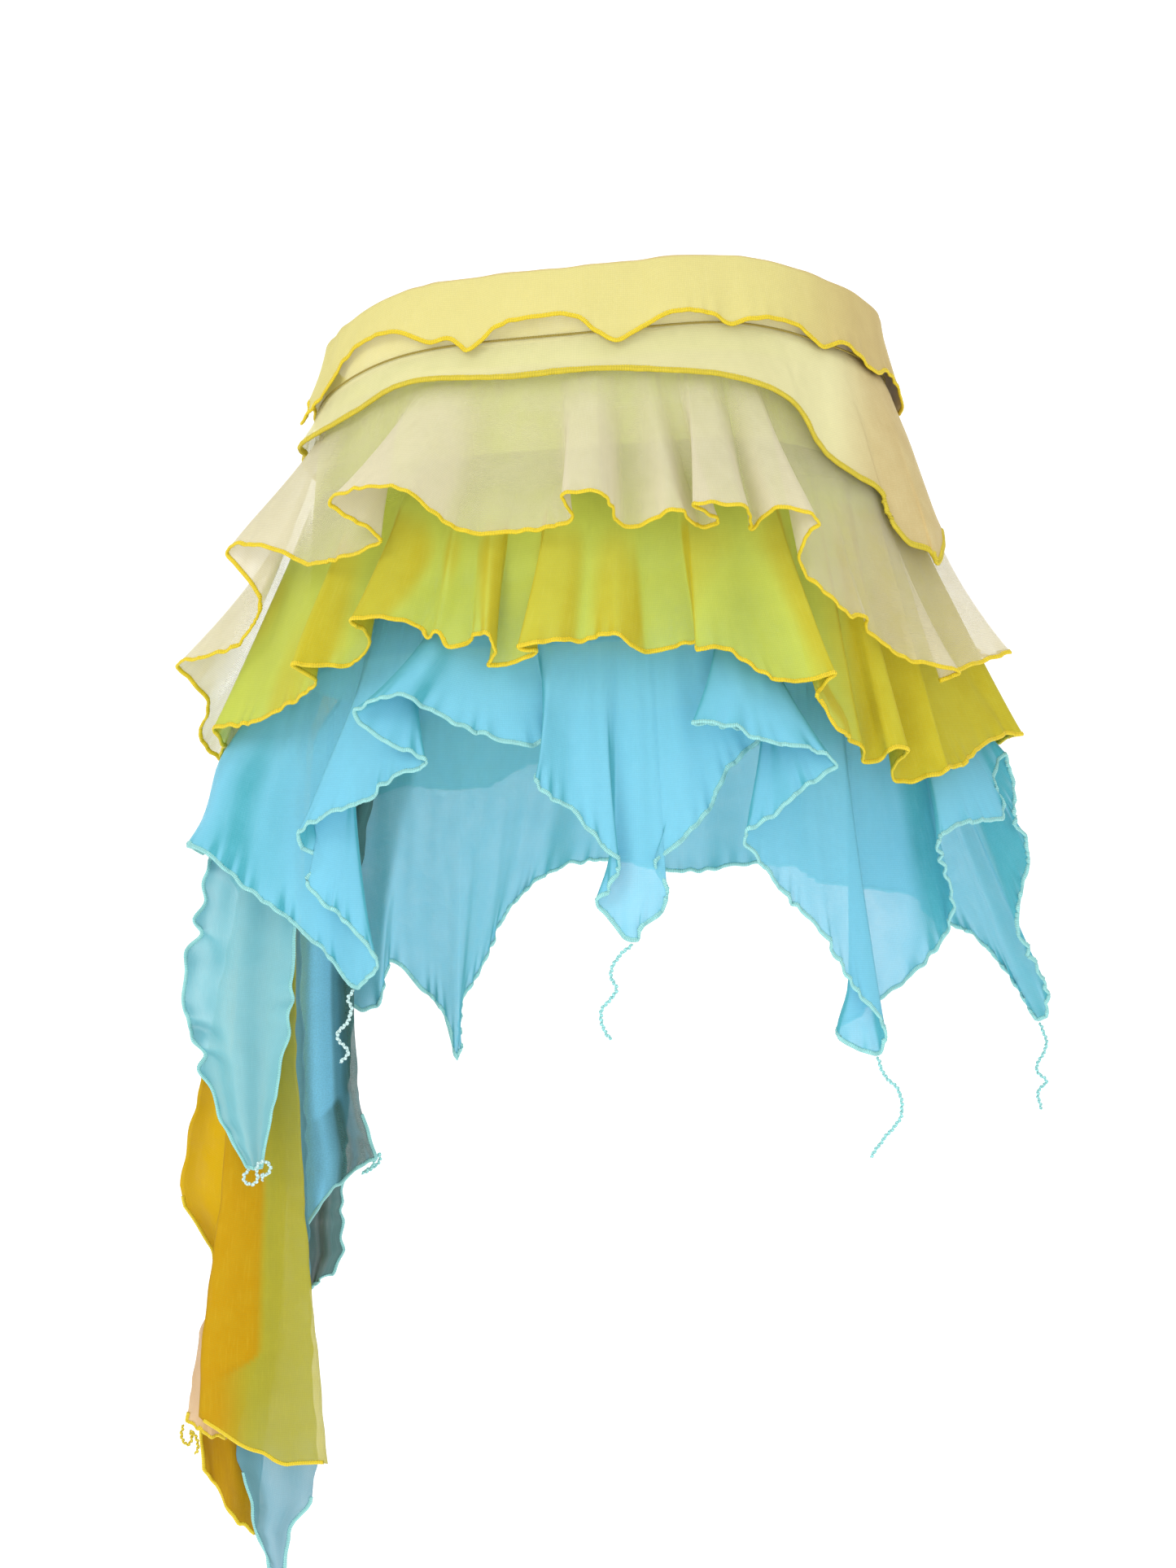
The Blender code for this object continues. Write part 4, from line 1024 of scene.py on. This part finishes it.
def hip_outward(points):
    """Unit level direction away from the hips at each point."""
    widths, depths = hip_sizes(points[..., 2])
    x, y = points[..., 0] / widths ** 2, points[..., 1] / depths ** 2
    return unit(np.stack((x, y, widths * 0.0), axis=-1))


def denser_folds(cover, points, wrap, facing, least):
    """How much each face of the cloth covers: more on the steep sides of a fold."""
    _, _, out = directions(points, wrap)
    turned = np.clip(np.abs((out * facing).sum(axis=-1)), least, 1.0)
    return 1.0 - (1.0 - cover) ** (1.0 / turned)


def new_mesh(name, points, faces, uv):
    """Mesh of points in millimetres, with a UV for each corner of each face."""
    mesh = bpy.data.meshes.new(name)
    mesh.from_pydata((points.reshape(-1, 3) * MILLIMETRE).tolist(), [], faces)
    layer = mesh.uv_layers.new(name="cloth")
    layer.data.foreach_set("uv", np.asarray(uv, dtype=np.float32).reshape(-1))
    return mesh


def add_item(name, data):
    item = bpy.data.objects.new(name, data)
    bpy.context.scene.collection.objects.link(item)
    return item


def add_smooth(name, mesh, material):
    mesh.shade_smooth()
    mesh.materials.append(material)
    return add_item(name, mesh)


def cloth_shell(name, points, wrap, cover, material):
    """Thin closed shell of cloth on a grid of points, with its run and drop as UV."""
    rows, columns = points.shape[:2]
    count = columns if wrap else columns - 1
    run, whole = max((lengths_along(row, wrap) for row in points), key=lambda item: item[1])
    run = np.append(run, whole) if wrap else run
    row, column = np.divmod(np.arange((rows - 1) * count), count)
    row = row[:, None] + (0, 1, 1, 0)
    column = column[:, None] + (0, 0, 1, 1)
    uv = np.stack((run[column], drops_below(points)[row, column % columns]), axis=-1)
    faces = (row * columns + column % columns).tolist()
    mesh = new_mesh(name, points, faces, uv * MILLIMETRE)
    covers = mesh.attributes.new(name="cover", type="FLOAT", domain="POINT")
    covers.data.foreach_set("value", cover.reshape(-1).astype(np.float32))
    item = add_smooth(name, mesh, material)
    wall = item.modifiers.new("wall", "SOLIDIFY")
    wall.thickness = sizes().cloth
    wall.offset = 0.0
    bpy.ops.object.select_all(action="DESELECT")
    bpy.context.view_layer.objects.active = item
    item.select_set(True)
    bpy.ops.object.modifier_apply(modifier=wall.name)
    item.select_set(False)
    return item


def tube_mesh(name, rings, marks, closed, material):
    """Tube through rings of points, closed on itself or capped, with its run and turn as UV."""
    count, sides = rings.shape[:2]
    marks = marks * MILLIMETRE
    faces = []
    uv = []
    for i in range(count if closed else count - 1):
        j = (i + 1) % count
        start, end = marks[i], marks[i] + marks[1] - marks[0]
        for k in range(sides):
            m = (k + 1) % sides
            low, high = k / sides, (k + 1) / sides
            faces.append((i * sides + k, j * sides + k, j * sides + m, i * sides + m))
            uv.extend(((start, low), (end, low), (end, high), (start, high)))
    for i in () if closed else (0, count - 1):
        faces.append(tuple(range(i * sides, (i + 1) * sides)))
        uv.extend([(marks[i], 0.0)] * sides)
    mesh = new_mesh(name, rings, faces, uv)
    shape = bmesh.new()
    shape.from_mesh(mesh)
    bmesh.ops.recalc_face_normals(shape, faces=shape.faces)
    shape.to_mesh(mesh)
    shape.free()
    return add_smooth(name, mesh, material)


def round_rings(side, up, sides):
    """Ring of directions round each place of a line."""
    turns = np.arange(sides)[:, None] * 2.0 * math.pi / sides
    return side[:, None] * np.cos(turns) + up[:, None] * np.sin(turns)


def even_line(line, side, closed, step):
    """Points at even steps along a line, with the side direction and the run of each."""
    both = np.concatenate((line, side), axis=1)
    if closed:
        both = np.concatenate((both, both[:1]))
    run, whole = lengths_along(both[:, :3], False)
    marks = np.linspace(0.0, whole, max(4, round(whole / step / 2.0) * 2) + 1)
    both = np.stack([np.interp(marks, run, values) for values in both.T], axis=-1)
    if closed:
        both, marks = both[:-1], marks[:-1]
    return both[:, :3], both[:, 3:], marks


def stitched_edge(name, line, side, closed, width, height, thread):
    """Overlocked edge as a flat tube whose width steps in and out with each stitch."""
    points, side, marks = even_line(line, side, closed, sizes().stitch / MILLIMETRE * 0.5)
    along = unit(steps_between(points, closed, 0))
    side = unit(side - along * (side * along).sum(axis=1, keepdims=True))
    up = np.cross(side, along)
    size = np.where(np.arange(len(points)) % 2 == 0, 1.0, BETWEEN_STITCHES)[:, None, None]
    rings = round_rings(side * width * 0.5, up * height * 0.5, EDGE_SIDES)
    rings = points[:, None] + (rings - side[:, None] * width * EDGE_INSET) * size
    return tube_mesh(name, rings, marks, closed, thread_material(thread))


def cloth_edge(name, line, side, closed, share, thread):
    """Stitched edge of a cloth, at a share of the usual size."""
    own = sizes()
    width, height = own.edge_width / MILLIMETRE * share, own.edge_height / MILLIMETRE * share
    return stitched_edge(name + "_edge", line, side, closed, width, height, thread)


def border_line(points, sewn):
    """Line down the left edge, along the hem and up the right edge, where they are stitched."""
    down, along, _ = directions(points, False)
    left = points[:, 0, 2] < sewn[0]
    right = points[::-1, -1, 2] < sewn[1]
    line = np.concatenate((points[left, 0], points[-1, 1:-1], points[::-1, -1][right]))
    side = np.concatenate((-along[left, 0], down[-1, 1:-1], along[::-1, -1][right]))
    return line, side


def new_material(name):
    material = bpy.data.materials.new(name)
    material.use_nodes = True
    tree = material.node_tree
    return material, tree, tree.nodes["Principled BSDF"]


def add_node(tree, kind, **values):
    node = tree.nodes.new(kind)
    for key, value in values.items():
        setattr(node, key, value)
    return node


def feed(tree, socket, value):
    """Link another node's socket into this one, or set its value."""
    if isinstance(value, bpy.types.NodeSocket):
        tree.links.new(value, socket)
    else:
        socket.default_value = value


def feed_all(tree, node, values):
    for name, value in values.items():
        feed(tree, node.inputs[name], value)


def calculate(tree, operation, *values):
    node = add_node(tree, "ShaderNodeMath", operation=operation)
    for socket, value in zip(node.inputs, values):
        feed(tree, socket, value)
    return node.outputs[0]


def ramp(tree, value, low, high, to_low, to_high):
    node = add_node(tree, "ShaderNodeMapRange", interpolation_type="SMOOTHSTEP")
    feed_all(tree, node, {
        "Value": value, "From Min": low, "From Max": high, "To Min": to_low, "To Max": to_high,
    })
    return node.outputs["Result"]


def mixed(tree, share, first, second):
    """Mix of two colours, each of them three values or another node's socket."""
    node = add_node(tree, "ShaderNodeMix", data_type="RGBA")
    sockets = {socket.identifier: socket for socket in node.inputs}
    feed(tree, sockets["Factor_Float"], share)
    for key, value in (("A_Color", first), ("B_Color", second)):
        feed(tree, sockets[key], (*value, 1.0) if isinstance(value, tuple) else value)
    return next(socket for socket in node.outputs if socket.identifier == "Result_Color")


def mapped(tree, vector, **values):
    node = add_node(tree, "ShaderNodeMapping")
    feed_all(tree, node, {"Vector": vector, **values})
    return node.outputs["Vector"]


def height_part(tree, vector):
    """Second part of a vector: the drop of a cloth, or the turn of a thread."""
    node = add_node(tree, "ShaderNodeSeparateXYZ")
    feed(tree, node.inputs["Vector"], vector)
    return node.outputs["Y"]


def bands(tree, vector, direction, pitch):
    """Fine wave whose bands are a pitch apart along one direction of the cloth."""
    node = add_node(tree, "ShaderNodeTexWave", wave_type="BANDS", bands_direction=direction)
    feed_all(tree, node, {
        "Vector": vector, "Scale": BAND_PITCH / pitch, "Distortion": 0.6, "Detail": 1.0,
    })
    return node.outputs["Fac"]


def noise(tree, vector, pattern):
    node = add_node(tree, "ShaderNodeTexNoise")
    place_on = mapped(tree, vector, Scale=(*pattern.stretch, 1.0))
    feed_all(tree, node, {"Vector": place_on, "Scale": pattern.scale, "Detail": pattern.detail})
    return node.outputs["Fac"]


def tinted(tree, value, pattern, ground, colour):
    """Ground colour that takes a tint of a colour where a pattern is strong."""
    share = ramp(tree, value, pattern.low, pattern.high, 0.0, pattern.share)
    return mixed(tree, share, ground, scaled(colour, pattern.light))


def scaled(colour, share):
    return tuple(min(1.0, part * share) for part in colour)


def bumpy(tree, height, strength, distance):
    node = add_node(tree, "ShaderNodeBump")
    feed_all(tree, node, {"Height": height, "Strength": strength, "Distance": distance})
    return node.outputs["Normal"]


def mesh_cloth(name, cloth):
    """Sheer knitted mesh: fine wales and soft mottling, as dense as the cloth's own cover says.

    The colour turns into the deep one where its cover is high: on the doubled and steep sides of
    folds, which is partly real depth and partly painted shade, and toward the wearer's right, which
    is painted shade. Or it turns into the colour of its fade further down.
    """
    material, tree, shader = new_material(name)
    colour = colour_of(cloth.colour)
    on_cloth = add_node(tree, "ShaderNodeUVMap", uv_map="cloth").outputs["UV"]
    cover = add_node(tree, "ShaderNodeAttribute", attribute_name="cover").outputs["Fac"]
    wales = bands(tree, on_cloth, "X", KNIT)
    courses = bands(tree, on_cloth, "Y", KNIT * COURSES)
    weave = calculate(tree, "MULTIPLY", wales, courses)
    mottle, streaks, grain = (noise(tree, on_cloth, row) for row in (MOTTLE, STREAKS, GRAIN))
    shade = colour
    if cloth.fade:
        below, begins, ends = cloth.fade
        faded = ramp(tree, height_part(tree, on_cloth), begins, ends, 0.0, 1.0)
        shade = mixed(tree, faded, colour, colour_of(below))
    # The deep colour where the cover is high is partly doubled cloth and partly painted shade.
    elif cloth.deep:
        doubled_and_shaded = ramp(tree, cover, DEEP_FROM, DEEP_TO, 0.0, 1.0)
        shade = mixed(tree, doubled_and_shaded, colour, colour_of(cloth.deep))
    shade = tinted(tree, mottle, MOTTLE, shade, colour)
    shade = tinted(tree, streaks, STREAKS, shade, cloth.pale)
    shade = tinted(tree, grain, GRAIN, shade, colour)
    woven = ramp(tree, weave, 0.0, 1.0, -WEAVE_COVER, WEAVE_COVER)
    mottled = ramp(tree, mottle, 0.3, 0.7, -MOTTLE_COVER, MOTTLE_COVER)
    cover = calculate(tree, "ADD", calculate(tree, "ADD", cover, woven), mottled)
    feed_all(tree, shader, {
        "Base Color": shade, "Alpha": cover, "Roughness": 0.72, "Specular IOR Level": 0.12,
        "Sheen Weight": 0.05, "Sheen Roughness": 0.45,
        "Normal": bumpy(tree, calculate(tree, "ADD", weave, grain), 0.35, 0.0002),
    })
    return material


def thread_wrap(name, colour, stitch):
    """Glossy thread wrapped round an edge, slanted like overlock stitches, with painted shade
    between its wraps and along a groove down its middle.
    """
    material, tree, shader = new_material(name)
    on_thread = add_node(tree, "ShaderNodeUVMap", uv_map="cloth").outputs["UV"]
    slanted = mapped(tree, on_thread, Scale=(1.0, stitch * 0.5, 1.0))
    slanted = mapped(tree, slanted, Rotation=(0.0, 0.0, math.radians(STITCH_SLANT)))
    wraps = bands(tree, slanted, "X", stitch * 0.5)
    shaded_thread = scaled(colour, WRAP_SHADE)
    shade = mixed(tree, ramp(tree, wraps, 0.05, 0.6, 0.0, 1.0), shaded_thread, colour)
    patches = noise(tree, on_thread, THREAD_PATCHES)
    shade = tinted(tree, patches, THREAD_PATCHES, shade, colour)
    # A dark line down the middle of the edge's top is painted shade of a groove between two cords.
    turn = calculate(tree, "SUBTRACT", height_part(tree, on_thread), 0.25)
    painted_groove = calculate(tree, "ABSOLUTE", turn)
    feed_all(tree, shader, {
        "Base Color": mixed(tree, ramp(tree, painted_groove, 0.0, 0.06, 0.55, 0.0), shade, shaded_thread),
        "Roughness": 0.5, "Specular IOR Level": 0.4, "Normal": bumpy(tree, wraps, 0.6, 0.0003),
    })
    return material


def plain_board(name, colour):
    """Matt painted board with the faintest mottling."""
    material, tree, shader = new_material(name)
    position = add_node(tree, "ShaderNodeTexCoord").outputs["Object"]
    patches = noise(tree, position, BOARD_PATCHES)
    feed_all(tree, shader, {
        "Base Color": tinted(tree, patches, BOARD_PATCHES, colour, colour),
        # The board's glow is painted light: it keeps the backdrop white and adds to the light round
        # the skirt.
        "Emission Color": (1.0, 1.0, 1.0, 1.0), "Emission Strength": BOARD_GLOW,
        "Roughness": 0.95, "Specular IOR Level": 0.1,
    })
    return material


def cloth_material(key):
    name = "sheer_" + key
    return bpy.data.materials.get(name) or mesh_cloth(name, CLOTHS[key])


def thread_material(key):
    key = key + "_thread"
    name = "overlock_" + key
    return bpy.data.materials.get(name) or thread_wrap(name, colour_of(key), sizes().stitch)


@lru_cache(maxsize=1)
def cut_layers(rows, step):
    """Every tube of cloth from the base outward, each clear of the layers beneath it.

    With each goes how far it stands off the layers beneath.
    """
    cover = Cover()
    for panel in CASCADE:
        cover.add(unplace(panel_points(panel, *PANEL_LAYER)), False, *PANEL_SAMPLES)
    base = base_skin()
    layers = {"base": (base, base[..., 1] * 0.0)}
    for tier in TIERS:
        own_rows = rows if tier.name != "yoke" else rows * 2 // 3
        skin = cover.lift(tier_skin(tier, own_rows, step), tier.easing, tier.reach)
        layers[tier.name] = (skin, np.maximum(skin[..., 1] - cover.floor(skin, tier.reach), 0.0))
        cover.add(skin, True, *TIER_SAMPLES)
    band = band_skin(step)
    flap = INNER_ROWS + FOLD_ROWS - 1
    band[flap:] = cover.lift(band[flap - 1:], FLAP_EASING, 1)[1:]
    layers["band"] = (band, band[..., 1] * 0.0)
    return layers


def dressed_panel(panel, seed):
    """Panel at a fine step, with soft folds and small curls along its two sides and its hem."""
    own = sizes()
    finish = FINISHES[panel.name]
    points = panel_points(panel, own.panel_rows, own.panel_columns)
    down, along, out = directions(points, False)
    drop = drops_below(points)
    across = drops_below(points.swapaxes(0, 1)).T
    hem_run, _ = lengths_along(points[-1], False)
    below_seam = np.clip(drop / drop[-1:] / PANEL_FOLD_START, 0.0, 1.0)
    folds = np.sin(drop / PANEL_FOLD_DROP + across / PANEL_FOLD_WIDTH + seed)
    height = own.crease / MILLIMETRE * folds * below_seam
    shift = np.zeros_like(points)
    borders = (
        (across, drop, -along, finish.left, 1.1),
        (across[:, -1:] - across, drop, along, finish.right, 2.3),
        (drop[-1:] - drop, hem_run + drop * 0.0, down, finish.hem, 3.9),
    )
    calm = eased(-points[..., 2], -finish.smooth_from, -finish.smooth_from + SMOOTH_BLEND)
    free = below_seam * (1.0 - PANEL_CALM * calm)
    for away, run, side, curl, turn in borders:
        near = np.exp(-(away / PANEL_CURL_REACH) ** CURL_FALL) * free
        whole = max(run.max(), finish.pitch)
        height = height + curl * wobble(run, whole, finish.pitch, seed + turn) * near
        slide = wobble(run, whole, finish.pitch * PANEL_SLIDE_PITCH, seed + turn + 2.0)
        shift = shift + side * (curl * slide * near)[..., None]
    return points + shift + out * height[..., None]


def panel_cover(finish, points):
    """How much each face of a panel covers: one split from left to right above its foot, and
    another below it."""
    across = np.linspace(0.0, 1.0, points.shape[1])[None, :]
    upper = blend(*finish.upper, eased(across, *finish.split))
    lower = blend(*finish.lower, eased(across, *FOOT_SPLIT))
    slant = FOOT_SLANT * across - points[..., 2]
    foot = eased(slant, -finish.foot_from, -finish.foot_from + FOOT_BLEND)
    facing = np.array((0.0, 1.0, 0.0))
    return denser_folds(blend(upper, lower, foot), points, False, facing, LEAST_PANEL_FACING)


def tube_cover(key, cloth, lift, points):
    """How much each face of a cloth covers: more where it stands proud and below its seam."""
    below = eased(drops_below(points), 0.0, SEAM_FADE)
    cover = blend(cloth.flat, cloth.proud, eased(lift, *cloth.lifts))
    # The far side of the lowest frill is denser and so darker: partly closer gathers, partly painted
    # shade.
    if key == "tier_3":
        cover = np.where(points[..., 1] > 0.0, FAR_SHADED_COVER, cover)
    cover = blend(cloth.seam, cover, below)
    # Denser and turned toward the deep colour at the wearer's right: painted shade.
    if cloth.right:
        below = np.maximum(below, cloth.seam / cloth.flat)
        right = eased(points[..., 0], SHADED_RIGHT_FROM, SHADED_RIGHT_TO) * below
        cover = blend(cover, cloth.right, right)
    return denser_folds(cover, points, True, hip_outward(points), LEAST_FACING)


def declare(shell, edges, node):
    """Hang a cloth and its edges on the body, and hide the imported part that it replaces."""
    for item in (shell, *edges):
        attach(item, BODY)
    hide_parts(node)


def make_tube(key):
    """One cloth that goes all round: its shell and its stitched edge."""
    own = sizes()
    piece = TUBES[key]
    cloth = CLOTHS[piece.cloth]
    skin, lift = cut_layers(own.rows, own.column_step / MILLIMETRE)[key]
    points = nudge(key, dress(place(skin), piece))
    cover = tube_cover(key, cloth, lift, points)
    shell = cloth_shell(piece.name, points, True, cover, cloth_material(piece.cloth))
    down, _, _ = directions(points, True)
    edges = [cloth_edge(piece.name, points[-1], down[-1], True, piece.edge, piece.thread)]
    if key == "band":
        edges.append(band_seam())
    declare(shell, edges, piece.node)


def band_seam():
    """Straight line of stitches where the overlay is sewn under the band."""
    bearing = np.arange(0.0, 360.0, SEAM_LINE_STEP)
    height = seam_height(bearing, YOKE_LEVEL + SEAM_LINE_RISE)
    skin = np.stack((bearing, bearing * 0.0 + YOKE_STAND + SEAM_LINE_STAND, height), axis=-1)
    side = np.tile((0.0, 0.0, -1.0), (len(bearing), 1))
    return stitched_edge(
        "band_seam_line", place(skin), side, True, SEAM_LINE_WIDTH, SEAM_LINE_HEIGHT, "seam",
    )


def make_panel(panel, seed):
    """One hanging panel of the cascade, with stitching down its sides and along its hem."""
    finish = FINISHES[panel.name]
    points = dressed_panel(panel, seed)
    name = panel.name.replace("cascade_", "") + "_panel"
    cover = panel_cover(finish, points)
    shell = cloth_shell(name, points, False, cover, cloth_material(finish.cloth))
    thread = "aqua" if panel.material == "aqua" else "yellow"
    edge = cloth_edge(name, *border_line(points, finish.sewn), False, PANEL_EDGE, thread)
    declare(shell, [edge], panel.name)


def cross_directions(points):
    """Two unit directions across a line, square to it and to each other."""
    along = unit(np.gradient(points, axis=0))
    side = unit(np.cross(along, (0.0, 1.0, 0.0)))
    return side, np.cross(side, along)


def make_thread(name, start, swings, colour, node=None):
    """Curled end of the overlock chain: a tube that winds a little and swells with each stitch."""
    line = smooth_path([start + (side, front, -drop) for side, front, drop in swings])
    points, _, marks = even_line(line, line, False, CHAIN_STEP)
    ends = np.minimum(marks, marks[-1] - marks) / THREAD_RADIUS
    ends = np.clip(ends, THREAD_TIP, 1.0)[:, None]
    side, up = cross_directions(points)
    turn = (marks * 2.0 * math.pi / CHAIN_PITCH)[:, None]
    points = points + (side * np.cos(turn) + up * np.sin(turn)) * CHAIN_CURL * (ends - THREAD_TIP)
    side, up = cross_directions(points)
    swell = 1.0 + BEAD_SWELL * np.sin(marks * 2.0 * math.pi / BEAD)
    radius = THREAD_RADIUS * swell[:, None] * ends
    rings = points[:, None] + round_rings(side * radius, up * radius, THREAD_SIDES)
    item = tube_mesh(name, rings, marks, False, thread_material(colour))
    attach(item, BODY)
    if node:
        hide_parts(node)


def set_camera():
    own = stage()
    camera = bpy.data.cameras.new("skirt_camera")
    camera.sensor_fit = "VERTICAL"
    camera.sensor_height = FILM_HEIGHT
    camera.lens = FILM_HEIGHT * own.distance / own.view_height
    item = add_item("skirt_camera", camera)
    item.location = (own.side, -own.distance, own.height)
    item.rotation_euler = (math.pi * 0.5, 0.0, 0.0)
    bpy.context.scene.camera = item


def set_lights():
    aim = Vector((0.0, 0.0, stage().height))
    for row in LIGHTS:
        light = bpy.data.lights.new(row.name, "AREA")
        light.size = row.size
        light.energy = row.power
        item = add_item(row.name, light)
        item.location = row.place
        item.rotation_euler = (aim - Vector(row.place)).to_track_quat("-Z", "Y").to_euler()
        item.visible_camera = False
    world = bpy.data.worlds.new("studio")
    world.use_nodes = True
    background = world.node_tree.nodes["Background"]
    background.inputs["Color"].default_value = (1.0, 1.0, 1.0, 1.0)
    background.inputs["Strength"].default_value = stage().daylight
    bpy.context.scene.world = world


def select_rear_edge(item):
    """Select only the floor's edge at the far side, in edit mode."""
    bpy.ops.mesh.select_all(action="DESELECT")
    shape = bmesh.from_edit_mesh(item.data)
    top, far = stage().floor + FLOOR_SLACK, FLOOR_MIDDLE + FLOOR_SIZE * 0.5 - FLOOR_SLACK
    for edge in shape.edges:
        if all(vertex.co.z < top and vertex.co.y > far for vertex in edge.verts):
            edge.select_set(True)
    bmesh.update_edit_mesh(item.data)


def set_floor():
    """Pale floor that curves up into a backdrop behind the skirt."""
    bpy.ops.object.select_all(action="DESELECT")
    bpy.ops.mesh.primitive_plane_add(size=FLOOR_SIZE, location=(0.0, FLOOR_MIDDLE, stage().floor))
    item = bpy.context.active_object
    item.name = "studio_floor"
    bpy.ops.object.transform_apply(location=True, rotation=True, scale=True)
    bpy.ops.object.mode_set(mode="EDIT")
    bpy.ops.mesh.select_mode(type="EDGE")
    select_rear_edge(item)
    bpy.ops.mesh.extrude_edges_move(TRANSFORM_OT_translate={"value": (0.0, 0.0, BACKDROP_RISE)})
    select_rear_edge(item)
    bpy.ops.mesh.bevel(offset=BACKDROP_BEND, segments=BACKDROP_SEGMENTS, affect="EDGES")
    bpy.ops.mesh.select_all(action="SELECT")
    bpy.ops.mesh.normals_make_consistent(inside=True)
    bpy.ops.object.mode_set(mode="OBJECT")
    bpy.ops.object.shade_smooth()
    item.data.materials.append(plain_board("floor_board", screen_colour(STAGE_WHITE)))
    item.select_set(False)


class SKIRT_OT_stage(bpy.types.Operator):
    """Set the camera, the pale floor and the soft studio light"""

    bl_idname = "skirt.stage"
    bl_label = "Stage"

    def execute(self, context):
        context.scene.view_settings.view_transform = "Standard"
        set_camera()
        set_lights()
        set_floor()
        return {"FINISHED"}


class SKIRT_OT_loose_threads(bpy.types.Operator):
    """Add the thread ends at the points of the lowest hem and the knots of the cascade"""

    bl_idname = "skirt.loose_threads"
    bl_label = "Loose threads"

    def execute(self, context):
        for row in THREADS:
            start = place(np.array((row.bearing, row.stand, row.height), dtype=float))
            name = row.name.replace("thread_tail", "loose_thread")
            make_thread(name, start, row.swings, row.colour, row.name)
        for row in KNOTS:
            make_thread(row.name, np.array(row.start, dtype=float), row.swings, row.colour)
        return {"FINISHED"}


class SKIRT_OT_inner_tube(bpy.types.Operator):
    """Add the inner tube that carries the frills"""

    bl_idname = "skirt.inner_tube"
    bl_label = "Inner tube"

    def execute(self, context):
        make_tube("base")
        return {"FINISHED"}


class SKIRT_OT_frills(bpy.types.Operator):
    """Add the three gathered frills, from the lowest up"""

    bl_idname = "skirt.frills"
    bl_label = "Frills"

    def execute(self, context):
        for key in ("tier_3", "tier_2", "tier_1"):
            make_tube(key)
        return {"FINISHED"}


class SKIRT_OT_overlay(bpy.types.Operator):
    """Add the flared overlay that hangs under the band"""

    bl_idname = "skirt.overlay"
    bl_label = "Overlay"

    def execute(self, context):
        make_tube("yoke")
        return {"FINISHED"}


class SKIRT_OT_waistband(bpy.types.Operator):
    """Add the fold-over waistband with its wavy edge and seam line"""

    bl_idname = "skirt.waistband"
    bl_label = "Waistband"

    def execute(self, context):
        make_tube("band")
        return {"FINISHED"}


class SKIRT_OT_cascade(bpy.types.Operator):
    """Add the long hanging panels at the side"""

    bl_idname = "skirt.cascade"
    bl_label = "Cascade"

    def execute(self, context):
        for index, panel in enumerate(CASCADE):
            make_panel(panel, PANEL_SEED + PANEL_SEED_STEP * index)
        return {"FINISHED"}


class SKIRT_PT_sidebar(bpy.types.Panel):
    """Sizes, colours and steps of the skirt"""

    bl_idname = "SKIRT_PT_sidebar"
    bl_label = "Ruffle Skirt"
    bl_space_type = "VIEW_3D"
    bl_region_type = "UI"
    bl_category = "Skirt"

    def draw(self, context):
        layout = self.layout
        scene = context.scene
        for group in (scene.skirt_sizes, scene.skirt_colours, scene.skirt_stage):
            box = layout.box()
            for name in group.bl_rna.properties.keys():
                if name not in {"rna_type", "name"}:
                    box.prop(group, name)
        for operator in STEPS:
            layout.operator(operator.bl_idname)


STEPS = (
    SKIRT_OT_stage,
    SKIRT_OT_loose_threads,
    SKIRT_OT_inner_tube,
    SKIRT_OT_frills,
    SKIRT_OT_overlay,
    SKIRT_OT_waistband,
    SKIRT_OT_cascade,
)
CLASSES = (SkirtSizes, SkirtColours, SkirtStage, *STEPS, SKIRT_PT_sidebar)


def register():
    for item in CLASSES:
        bpy.utils.register_class(item)
    bpy.types.Scene.skirt_sizes = PointerProperty(type=SkirtSizes)
    bpy.types.Scene.skirt_colours = PointerProperty(type=SkirtColours)
    bpy.types.Scene.skirt_stage = PointerProperty(type=SkirtStage)


def unregister():
    del bpy.types.Scene.skirt_stage
    del bpy.types.Scene.skirt_colours
    del bpy.types.Scene.skirt_sizes
    for item in reversed(CLASSES):
        bpy.utils.unregister_class(item)


def main():
    register()
    bpy.ops.skirt.stage()
    bpy.ops.skirt.loose_threads()
    bpy.ops.skirt.inner_tube()
    bpy.ops.skirt.frills()
    bpy.ops.skirt.overlay()
    bpy.ops.skirt.waistband()
    bpy.ops.skirt.cascade()


if __name__ == "__main__":
    main()
